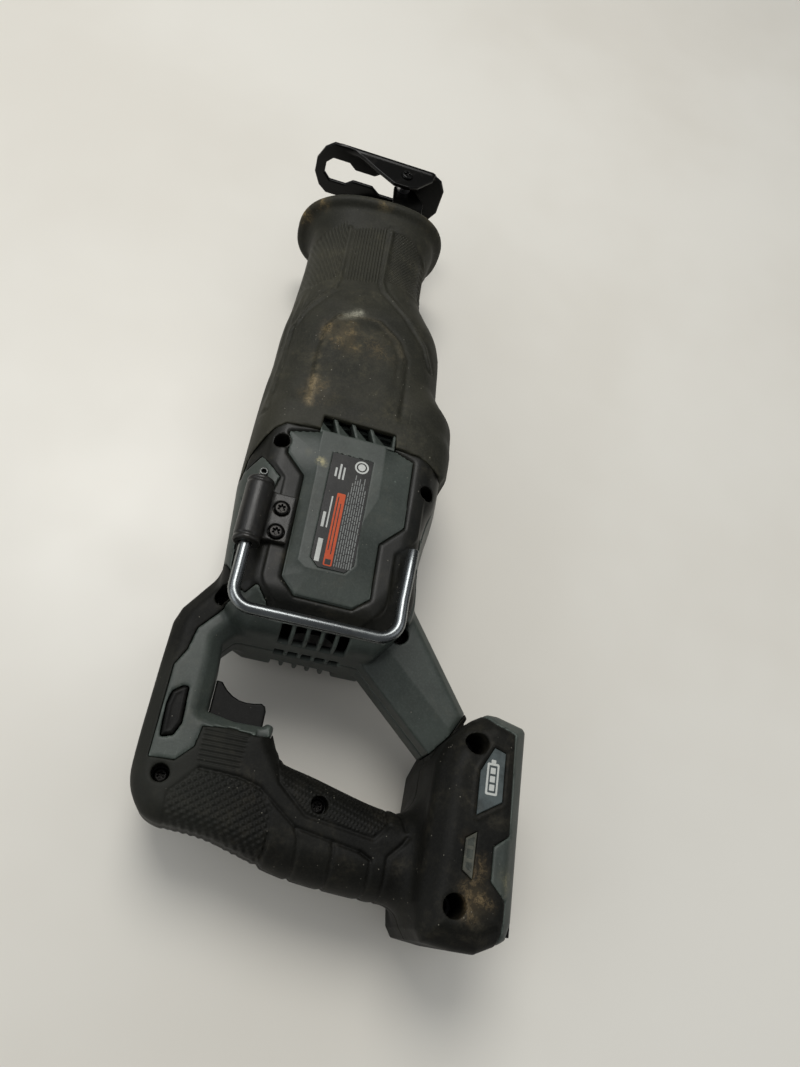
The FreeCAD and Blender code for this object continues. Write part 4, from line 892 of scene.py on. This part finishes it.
M_GAUGE = moulded("gauge_bezel", (36, 37, 31), (50, 50, 43), rough=0.46, dust=0.35, wear_and_highlight=0.3, dustcol=(88, 80, 62))

SLOT_MAT = {"housing_gray": M_GRAY, "rubber_black": M_GRIP, "boot_rubber": M_BOOT, "black_plastic": M_BLACK, "black_steel": M_SHOE,
            "zinc_wire": M_ZINC, "steel": M_STEEL, "hard_steel": M_DARKST, "cast_aluminium": M_CAST, "screw_black": M_SCREW,
            "lamination": M_LAM, "copper": M_COPPER, "fan_nylon": M_BLACK, "label_film": M_LABEL, "badge_gray": M_PALE, "clear_lens": M_LENS,
            "board": M_BOARD, "potting": M_POT, "bush_bronze": M_BRONZE, "seal_rubber": M_GRIP, "lead_insulation": M_LEAD,
            "contact_brass": M_BRONZE}
slots = {s["node"]: s["material_slot"] for s in frame["record"]["subparts"]}
for node, ob in frame["nodes"].items():
    mat = SLOT_MAT[slots[node]]
    if ob.material_slots:
        for ms in ob.material_slots:
            ms.link = "OBJECT"
            ms.material = mat
    else:
        ob.data.materials.append(mat)

# ================================================================ housing halves, rubber, covers
g = Grid((-51.5, -0.9, -1.2), (184.5, 45.2, 172.0), 0.85)
sh = surface(shell_field(g), g)


class Points:
    def __init__(self, x, w, z):
        self.x, self.w, self.z = x, np.abs(w), z

    def poly(self, pts):
        return poly2(self.x[:, None], self.z[:, None], pts)[:, 0]


# painted shade mask: 1 on shell surfaces lying more than about 2 mm inside the outer skin
def inner_shade_depth(x, y, z):
    q = Points(x.astype(F32), y.astype(F32), z.astype(F32))
    return sstep(-1.2, -2.8, outer_field(q))


# the shell halves carry the painted inner shade mask
for side, nm in ((-1, "right"), (1, "left")):
    ob = piece("shell_" + nm, None, g, "housing", M_GRAY, ["housing_" + nm], side, mesh=sh)
    mark(ob, "painted_inner_shade", inner_shade_depth)
g = Grid((80.5, 36.9, 74.5), (170.5, 43.6, 140.5), 0.42)
pn = surface(panel_field(g), g)
piece("side_panel_right", None, g, "housing", M_GRAY, [], -1, mesh=pn)
piece("side_panel_left", None, g, "housing", M_GRAY, [], 1, mesh=pn)
g = Grid((168.0, 28.9, 86.0), (180.8, 41.9, 125.8), 0.42)
lv = surface(louvre_field(g), g)
piece("outlet_right", None, g, "housing", M_GRAY, [], -1, mesh=lv)
piece("outlet_left", None, g, "housing", M_GRAY, [], 1, mesh=lv)
g = Grid((-51.8, -0.8, 4.0), (98.0, 38.8, 171.6), 0.56)
gr = surface(grip_field(g), g)
for side, nm in ((-1, "right"), (1, "left")):
    ob = piece("grip_" + nm, None, g, "housing", M_GRIP, ["grip_overmould_" + nm], side, mesh=gr)
    # painted light mask: the upper part of the grip, towards the handle's top
    mark(ob, "painted_light_upper", lambda x, y, z: sstep(112, 150, z) * sstep(60, 40, x))
    mark(ob, "knurl_area", inside(KNURL, 1.2))
    mark(ob, "fine_area", inside(FINE, 0.8))
    mark(ob, "front_area", inside([(27, 108.3), (10.6, 108.3), (4.6, 106.4), (-6.6, 93.0), (-11.0, 62.7), (-4.5, 56.8), (27, 56.9)], 0.8))
g = Grid((70.0, 25.0, 55.0), (182.0, 41.8, 157.5), 0.7)
cv = surface(cover_field(g), g)
piece("cover_right", None, g, "housing", M_COVER, ["side_overmould_right"], -1, mesh=cv)
piece("cover_left", None, g, "housing", M_COVER, ["side_overmould_left"], 1, mesh=cv)

g = Full((138.0, -43.0, 50.5), (349.5, 43.0, 168.0), 0.9)
fb = boot_field(g)
hole = np.maximum(np.sqrt((g.x - 272) ** 2 + (g.z - 101) ** 2) - 6.3, 20 - g.y)
ring = np.sqrt((g.x - 272) ** 2 + (g.z - 101) ** 2) - 8.6
fb = np.maximum(fb - 0.7 * np.exp(-(ring / 1.1) ** 2) * (g.y > 24), -hole)
ob = piece("boot", fb, g, "housing", M_BOOT, ["nose_boot"])
mark(ob, "up_area", inside(N_UP, 0.8))
mark(ob, "mid_area", inside(N_MID, 0.8))
mark(ob, "low_area", inside(N_LOW, 0.8))
mark(ob, "edge_scar", near([(184, 134.0), (206, 134.6), (214, 136.0), (226, 135.4), (238, 133.4)], 1.9))
mark(ob, "edge_chip", near([(246, 127.5), (250, 121.5), (253.5, 118.5)], 2.6))
# pale band along the dome's right edge, on the groove's outer lip: partly rub, partly painted highlight
mark(ob, "edge_rub_and_highlight", near([(226, 90), (240, 94.5), (249.5, 106.5), (250.5, 112), (248, 127), (238, 134)], 2.2))

# ================================================================ shoe
g = Full((374.0, -22.0, 78.5), (399.0, 22.0, 167.5), 0.42)
OUT = [(166.0, 5.5), (166.0, -5.5), (162.0, -15.0), (156.5, -20.0), (91.0, -20.0), (83.5, -16.0), (80.0, -9.0), (80.0, 9.0), (83.5, 16.0), (91.0, 20.0), (156.5, 20.0), (162.0, 15.0)]
WIN = [(159.5, 4.0), (155.5, 8.8), (144.6, 8.8), (140.0, 4.6), (126.6, 4.6), (121.0, 9.2), (109.0, 9.2), (106.5, 7.0)]
WIN = WIN + [(z, -y) for z, y in reversed(WIN)]
yz = lambda pts: poly2(g.z[0, :, :], g.y[0, :, :], pts)[None, :, :]
dout, dwin = yz(OUT), yz(WIN)
d = np.maximum(dout, -dwin)
fpl = rounded(d, g.x - 396.7, 1.28, 0.75)
EAR = [(397.4, 152), (397.4, 89), (391, 89.6), (380.6, 98.5), (377.7, 104), (377.7, 114), (385.4, 127), (391.2, 135.4), (395.6, 144)]
fear = rounded(g.poly(EAR), g.w - 18.65, 1.32, 0.7)
f = smin(fpl, fear, 1.6)
rib = np.maximum(g.line([(396, 91.5), (383, 100.5)]) - 0.9, g.w - 19.0)
rib = np.maximum(rib, 15.6 - g.w)
f = smin(f, rib, 0.8)
f = np.maximum(f, -cylw(g, 387.5, 107.0, 3.05))
piece("shoe", f, g, "shoe_plate", M_SHOE, ["shoe_plate"])

# post with rolled edges
g = Full((249.0, -10.0, 90.5), (395.0, 10.0, 114.5), 0.6)
CHK = [(366, 92), (366, 111), (387.5, 113), (393.0, 109.5), (393.4, 105.5), (391.5, 102.0), (380, 92)]
bar = np.maximum(np.maximum(np.abs(g.x - 311) - 61, np.abs(g.z - 101.5) - 9.5), g.w - 9.0)
hollow = np.maximum(np.maximum(g.z - 108.4, g.w - 6.6), g.x - 366.5)
bar = np.maximum(bar, -hollow)
chk = np.maximum(g.poly(CHK), np.abs(g.w - 7.8) - 1.2)
f = smin(np.maximum(bar, g.x - 372), chk, 0.5)
f = np.maximum(f, -cylw(g, 387.5, 107.0, 3.05))
for xx in (260, 266, 272, 278):
    f = np.maximum(f, -np.maximum(np.sqrt((g.x - xx) ** 2 + (g.z - 101) ** 2) - 2.3, 5 - g.y))
piece("post", f, g, "shoe_post", M_SHOE, ["shoe_post"])

# pivot pin: headed, with a small cross-shaped recess
g = Full((382.0, -22.0, 101.6), (393.0, 22.0, 112.4), 0.3)
c = cylw(g, 387.5, 107.0, 0.0)
f = np.maximum(c - 2.8, g.w - 20.4)
head = np.maximum(c - 3.8, np.abs(g.w - 20.95) - 0.7)
head = smax(head, c + g.w - 24.5, 0.5)
f = np.minimum(f, head)
cross = np.minimum(np.maximum(np.abs(g.x - 387.5) - 0.55, np.abs(g.z - 107) - 2.2), np.maximum(np.abs(g.z - 107) - 0.55, np.abs(g.x - 387.5) - 2.2))
f = np.maximum(f, -np.maximum(cross, 20.6 - g.w))
piece("shoe_pivot", f, g, "shoe_post", M_SHOE, ["shoe_pin"])

# ================================================================ trigger and lock button
g = Full((14.5, -9.0, 117.5), (46.5, 9.0, 145.5), 0.42)
TRG = [(16.5, 119.0), (35.0, 119.1), (37.2, 119.8), (38.3, 121.8), (37.6, 125.0), (37.3, 128.5), (37.7, 132.0), (39.0, 135.4), (41.4, 138.8), (44.4, 141.4), (44.8, 144.2), (16.5, 144.2)]
d = g.poly(TRG)
f = rounded(d, g.w, 8.25, 0.9)
stem = np.maximum(np.maximum(np.abs(g.x - 20.5) - 3.0, np.abs(g.z - 131.5) - 5.5), g.w - 4.0)
f = smin(f, stem, 1.0)
piece("trigger_body", f, g, "trigger", M_BLACK, ["trigger"])
g = Full((12.5, -22.5, 153.4), (37.5, 22.5, 163.4), 0.45)
d = g.poly(LOCK)
yc = np.abs(g.y - 1.2)
a, b = d + 1.4, yc - (20.5 - 1.4)
f = np.minimum(np.maximum(a, b), 0) + np.sqrt(np.maximum(a, 0) ** 2 + np.maximum(b, 0) ** 2) - 1.4
f = f + 0.2 * sstep(-1.5, -2.7, d) * (yc > 19.2)
piece("lock_bar", f, g, "lock_button", M_BLACK, ["lock_button"])

# ================================================================ hook bracket, wire, screws
g = Grid((97.5, 38.6, 127.6), (133.5, 52.6, 154.0), 0.38)
rr = np.sqrt((g.w - 45.2) ** 2 + (g.z - 146.5) ** 2)
bar = np.maximum(rr - 6.45, np.abs(g.x - 115.25) - 16.6)
bar = smax(bar, (rr - 6.45 + np.abs(g.x - 115.25) - 16.0) * 0.707, 0.4)
bar = bar + groove(np.abs(g.x - 101.2), 0.7, 0.4) + groove(np.abs(g.x - 129.3), 0.7, 0.4)
pl = rounded(g.poly([(104, 128.8), (128.5, 128.8), (128.5, 143.0), (104, 143.0)]), g.w - 41.75, 1.55, 0.6)
lk = np.maximum(np.maximum(np.abs(g.x - 116.25) - 12.2, np.abs((g.w - 43.6) * 0.80 + (g.z - 142.0) * -0.60 + 0.6) - 1.7), np.abs((g.w - 43.6) * 0.6 + (g.z - 142.0) * 0.8) - 4.2)
f = smin(smin(bar, pl, 1.0), np.maximum(lk, 40.4 - g.w), 1.2)
f = np.maximum(f, -(rr - 2.95))
for x in (108.6, 120.8):
    c = cylw(g, x, 134.4, 0.0)
    f = np.maximum(f, -np.maximum(c - 3.95, 41.9 - g.w))
    f = np.maximum(f, -(c - 2.1))
f = np.maximum(f, 40.25 - g.w)
piece("hook_hinge", f, g, "housing", M_BARREL, ["hook_bracket"], -1)


def arc_pts(cx, cz, r, a0, a1, n=10):
    return [(cx + r * math.cos(math.radians(a0 + (a1 - a0) * i / n)), -45.2, cz + r * math.sin(math.radians(a0 + (a1 - a0) * i / n))) for i in range(n + 1)]


R, XR, ZL_, BZ = 9.5, 69.0, 70.7, 146.5
path = [(133.8, -45.2, BZ), (120, -45.2, BZ), (100, -45.2, BZ), (88, -45.2, BZ)] + arc_pts(XR + R, BZ - R, R, 90, 180) + \
       [(XR, -45.2, z) for z in (128, 110, 92)] + arc_pts(XR + R, ZL_ + R, R, 180, 270) + [(88, -45.2, ZL_ + 0.05), (100, -45.2, ZL_ - 0.5), (115.0, -45.2, ZL_ - 1.2)]
V, Fc, caps = tube_mesh(path, 2.8, 28)
# dimple in the front end
seg = 28
ring0 = caps[0]
ctr = np.mean([V[i] for i in ring0], axis=0)
base = len(V)
V += [ctr + (np.array(V[i]) - ctr) * 0.62 for i in ring0]
V += [ctr + (np.array(V[i]) - ctr) * 0.55 + np.array([-1.6, 0, 0]) for i in ring0]
for k in range(seg):
    a, b = ring0[k], ring0[(k + 1) % seg]
    Fc.append((a, b, base + (k + 1) % seg, base + k))
    Fc.append((base + k, base + (k + 1) % seg, base + seg + (k + 1) % seg, base + seg + k))
Fc.append(tuple(base + seg + k for k in range(seg)))
Fc.append(caps[1])
# painted shade: the end face's flat ring and sunk centre get the near-black material
idx = [0] * len(Fc)
idx[-2] = 1
for k in range(2, 2 * seg + 2):
    if k % 2 == 1:
        idx[-(k + 1)] = 1
ob = poly_object("hook_wire_bar", V, Fc, [M_ZINC, M_WIRE_END_SHADE], idx)
import bmesh
bm = bmesh.new()
bm.from_mesh(ob.data)
bmesh.ops.recalc_face_normals(bm, faces=bm.faces)
bm.to_mesh(ob.data)
bm.free()
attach(ob, "hook")
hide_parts("hook_wire")


g = Full((133.0, -48.9, 143.3), (139.4, -41.6, 149.7), 0.2)
g.y = g.y
cc = np.sqrt((g.x - 135.7) ** 2 + (g.z - 146.5) ** 2)
f = np.maximum(np.abs(cc - 1.72) - 0.50, np.abs(g.y + 45.1) - 2.5)
f = smax(f, (cc - 2.2 + np.abs(g.y + 45.1) - 2.1) * 0.707, 0.2)
f = np.minimum(f, np.maximum(cc - 1.4, np.abs(g.y + 44.0) - 0.9))
ob = piece("hook_eyelet", f, g, "hook", M_EYELET, ["hook_end_clip"])


def screw_mesh(r, h, shank, shank_l, lobes=6, step=0.17):
    """Pan-head screw along -w: head top at w = 0; star recess."""
    g = Grid((-r - 0.5, -h - shank_l - 0.5, -r - 0.5), (r + 0.5, 0.6, r + 0.5), step)
    rad = np.sqrt(g.x ** 2 + g.z ** 2)
    ang = np.arctan2(g.z, g.x)
    head = smax(smax(rad - r, g.w, 0.6), -g.w - h, 0.1)
    head = smax(head, (rad - r + g.w) * 0.707 + 0.35, 0.5)
    star = rad - (r * 0.42 + 0.14 * r * np.cos(lobes * ang))
    head = np.maximum(head, -np.maximum(star, -g.w - h * 0.62))
    sh = np.maximum(rad - shank, np.abs(g.w + h + shank_l / 2 - 0.2) - shank_l / 2)
    return surface(np.minimum(head, sh), g)


def many(name, mesh, places, body, mat, nodes):
    """Copies of one small mesh at (x, w, z), all on the -Y side, joined into one piece."""
    v, q = mesh
    vs, qs, off = [], [], 0
    for x, w, z in places:
        vs.append(v + np.array([x, w, z]))
        qs.append(q + off)
        off += len(v)
    ob = to_object(name, np.concatenate(vs), np.concatenate(qs), -1)
    ob.data.materials.append(mat)
    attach(ob, body)
    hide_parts(*nodes)
    return ob


many("hook_screw_heads", screw_mesh(3.5, 2.3, 1.45, 9.0), [(108.6, 44.25, 134.4), (120.8, 44.25, 134.4)], "housing", M_SCREW, ["hook_screws"])
seat = {"h": 8.0, "s": 8.0, "f": 12.0, "b": 20.0}
many("housing_screw_heads", screw_mesh(3.3, 2.4, 1.55, 8.0), [(x, seat[k] + 2.4, z) for x, z, k in SCREWS], "housing", M_SCREW, ["housing_screws"])

# ================================================================ label, badges, gauge
V, Fc, idx = [], [], []
prism_data([(158.0, 116.5), (158.0, 96.0), (101.1, 96.0), (96.6, 99.6), (96.6, 112.4), (100.6, 116.5)], -42.5, -43.0, V, Fc, idx, 0, 0.08)
prism_data(rrect(98.0, 136.5, 106.2, 110.4, 0.7), -42.9, -43.06, V, Fc, idx, 1, 0.03)
prism_data(rrect(98.6, 101.4, 106.9, 109.7, 0.3), -43.0, -43.09, V, Fc, idx, 0, 0.02)
for i, (x0, x1) in enumerate(((106, 134.5), (104, 131))):
    prism_data(rrect(x0, x1, 109.05 - 1.55 * i, 109.55 - 1.55 * i, 0.1), -43.0, -43.09, V, Fc, idx, 0, 0.02)
rows = [(98.4, x1, 105.2 - 1.12 * k) for k, x1 in enumerate((138, 145, 149, 147, 148.5, 146, 147.5, 141))]
rng = np.random.RandomState(7)
for x0, x1, z in rows:
    x = x0
    while x < x1 - 2:
        w_ = float(rng.uniform(1.2, 4.6))
        prism_data(rrect(x, min(x + w_, x1), z - 0.24, z + 0.24, 0.08), -42.95, -43.05, V, Fc, idx, 3, 0.02)
        x += w_ + 0.45
for x0, x1, z, t in ((99.2, 111, 113.6, 1.15), (117, 125, 114.4, 0.7), (117, 134, 112.3, 0.35), (145, 150, 113.2, 0.5), (144, 152.5, 111.2, 0.5), (144, 151, 109.3, 0.45)):
    prism_data(rrect(x0, x1, z - t, z + t, 0.15), -42.95, -43.06, V, Fc, idx, 2, 0.02)
prism_data(circle_pts(153.3, 101.2, 3.5), -42.95, -43.05, V, Fc, idx, 2, 0.03)
prism_data(circle_pts(153.3, 101.2, 2.6), -43.0, -43.08, V, Fc, idx, 0, 0.02)
prism_data(circle_pts(153.3, 101.2, 1.9), -43.05, -43.12, V, Fc, idx, 2, 0.02)
ob = poly_object("side_label", V, Fc, [M_LABEL, M_ORANGE, M_WHITE, M_PRINT], idx, smooth=False)
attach(ob, "housing")
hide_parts("rating_label")

V, Fc, idx = [], [], []
for s in (-1, 1):
    q = [(x, z) for x, z in BADGE]
    prism_data(q, s * 35.8, s * 37.35, V, Fc, idx, 0, 0.35)
    # plain battery pictogram
    T = lambda pts: [(x * 0.955 + 0.6, z) for x, z in pts]
    prism_data(rrect(12.6, 26.4, 14.6, 20.2, 0.8), s * 37.2, s * 37.5, V, Fc, idx, 1, 0.08)
    prism_data(rrect(13.6, 25.4, 15.5, 19.3, 0.4), s * 37.3, s * 37.53, V, Fc, idx, 0, 0.05)
    for k in range(3):
        prism_data(rrect(14.5 + 3.6 * k, 17.2 + 3.6 * k, 16.2, 18.6, 0.2), s * 37.3, s * 37.56, V, Fc, idx, 1, 0.05)
    prism_data(rrect(26.4, 27.9, 16.3, 18.5, 0.3), s * 37.2, s * 37.5, V, Fc, idx, 1, 0.08)
ob = poly_object("battery_badges", V, Fc, [M_PALE, M_WHITE], idx, smooth=False)
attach(ob, "housing")
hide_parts("voltage_badges")

V, Fc, idx = [], [], []
prism_data([(-3.3, 21.75), (-22.3, 22.0), (-19.2, 26.5), (-6.5, 26.4)], -35.8, -37.35, V, Fc, idx, 0, 0.3)
ob = poly_object("gauge_frame", V, Fc, [M_GAUGE], idx, smooth=False)
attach(ob, "housing")
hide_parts("indicator_bezel")
V, Fc, idx = [], [], []
for x0, x1, sl in ((-9.2, -5.6, 1.0), (-14.4, -10.6, 0.0), (-19.6, -15.8, -1.0)):
    prism_data([(x0 + max(0, -sl) * 1.6, 25.6), (x1 - max(0, sl) * 1.2, 25.6), (x1, 22.8), (x0, 22.8)], -37.0, -37.45, V, Fc, idx, 0, 0.1)
ob = poly_object("gauge_windows", V, Fc, [M_LENS], idx, smooth=False)
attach(ob, "housing")
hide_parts("indicator_windows")

# ================================================================ stage
FLOOR_Y = CAD_HI.y + 0.0006
me = bpy.data.meshes.new("floor")
S = 3.0
me.from_pydata([(-S, FLOOR_Y, -S), (S, FLOOR_Y, -S), (S, FLOOR_Y, S), (-S, FLOOR_Y, S)], [], [(0, 1, 2, 3)])
floor = bpy.data.objects.new("floor", me)
bpy.context.scene.collection.objects.link(floor)

cam_data = bpy.data.cameras.new("camera")
cam = bpy.data.objects.new("camera", cam_data)
bpy.context.scene.collection.objects.link(cam)
cam_data.sensor_width = 36.0
cam_data.lens = 36.0 * 803 / 1067
cam_data.clip_start, cam_data.clip_end = 0.01, 20
right = Vector((0.14718, -0.24240, -0.95895))
up = Vector((0.88266, -0.40534, 0.23793))
fwd = Vector((0.44638, 0.88144, -0.15430))
rot = Matrix((right, up, -fwd)).transposed()
cam.matrix_world = Matrix.Translation(Vector((-0.0487, -0.3825, 0.1365))) @ rot.to_4x4()
bpy.context.scene.camera = cam

fm = Mat("floor_pale")
t = fm.t
c = fm.mix(fm.ramp(fm.noise(3.0, 4), 0.35, 0.65), srgb(206, 202, 192), srgb(212, 209, 200))
fm.link(c, fm.b.inputs["Base Color"])
fm.link(fm.ramp(fm.noise(9.0, 3), 0.3, 0.7, 0.34, 0.42), fm.b.inputs["Roughness"])
tr = fm.n("BsdfTransparent")
mixs = fm.n("MixShader")
val = fm.n("Value")
val.label = "seen_from_front"
fm.link(val.outputs[0], mixs.inputs[0])
fm.link(tr.outputs[0], mixs.inputs[1])
fm.link(fm.b.outputs[0], mixs.inputs[2])
fm.link(mixs.outputs[0], fm.out.inputs[0])
drv = t.driver_add('nodes["%s"].outputs[0].default_value' % val.name)
drv = drv.driver
drv.type = "SCRIPTED"
var = drv.variables.new()
var.name = "cy"
var.type = "TRANSFORMS"
var.targets[0].id = cam
var.targets[0].transform_type = "LOC_Y"
var.targets[0].transform_space = "WORLD_SPACE"
drv.expression = "cy < %.4f" % FLOOR_Y
me.materials.append(fm.m)

world = bpy.data.worlds.new("studio")
bpy.context.scene.world = world
world.use_nodes = True
wt = world.node_tree
bg = wt.nodes["Background"]
bg.inputs["Color"].default_value = (0.95, 0.97, 1.0, 1)
toward = -fwd
# plain surroundings for diffuse light; for reflections a room with two soft light panels
gc = wt.nodes.new("ShaderNodeTexCoord")


def lobe(direction, a, b, amount):
    dt = wt.nodes.new("ShaderNodeVectorMath")
    dt.operation = "DOT_PRODUCT"
    wt.links.new(gc.outputs["Generated"], dt.inputs[0])
    dt.inputs[1].default_value = tuple(Vector(direction).normalized())
    mr = wt.nodes.new("ShaderNodeMapRange")
    mr.interpolation_type = "SMOOTHSTEP"
    for k, v in zip(("From Min", "From Max", "To Min", "To Max"), (a, b, 0.0, amount)):
        mr.inputs[k].default_value = v
    wt.links.new(dt.outputs["Value"], mr.inputs["Value"])
    return mr.outputs["Result"]


def wadd(a, b):
    nd = wt.nodes.new("ShaderNodeMath")
    nd.operation = "ADD"
    for i, v in enumerate((a, b)):
        if isinstance(v, float):
            nd.inputs[i].default_value = v
        else:
            wt.links.new(v, nd.inputs[i])
    return nd.outputs[0]


gl = wadd(0.05, lobe(toward * 0.55 + up * 0.8 - right * 0.3, 0.86, 0.95, 0.8))
gl = wadd(gl, lobe(toward * 0.5 + right * 0.9 + up * 0.15, 0.92, 0.96, 0.8))
gl = wadd(gl, lobe(toward * 0.6 - right * 0.8 - up * 0.2, 0.93, 0.97, 0.6))
gl = wadd(gl, lobe(toward, -0.2, 0.9, 0.16))
lp = wt.nodes.new("ShaderNodeLightPath")
mx = wt.nodes.new("ShaderNodeMix")
mx.data_type = "FLOAT"
wt.links.new(lp.outputs["Is Glossy Ray"], mx.inputs[0])
wt.links.new(gl, mx.inputs[3])
wt.links.new(wadd(0.34, lobe(up + toward * 0.3, -0.4, 0.9, 0.36)), mx.inputs[2])
wt.links.new(mx.outputs[0], bg.inputs["Strength"])


def area(name, direction, dist, size, power, color=(1, 1, 1)):
    L = bpy.data.lights.new(name, "AREA")
    L.shape = "DISK"
    L.size = size
    L.energy = power
    L.color = color
    o = bpy.data.objects.new(name, L)
    bpy.context.scene.collection.objects.link(o)
    dvec = Vector(direction).normalized()
    o.location = Vector((0.17, 0, 0.1)) + dvec * dist
    o.rotation_mode = "QUATERNION"
    o.rotation_quaternion = dvec.to_track_quat("Z", "Y")
    return o


area("key", toward * 0.78 + up * 0.9 + right * 0.12, 1.45, 0.8, 12.5, (1.0, 0.985, 0.955))
area("fill", toward * 0.8 - right * 0.9 + up * 0.2, 2.3, 1.4, 7, (0.96, 0.98, 1.0))
area("back", -toward + Vector((0.2, 0, 0.6)), 2.2, 1.6, 60, (1.0, 0.99, 0.97))

bpy.context.scene.view_settings.view_transform = "Standard"
bpy.context.view_layer.update()
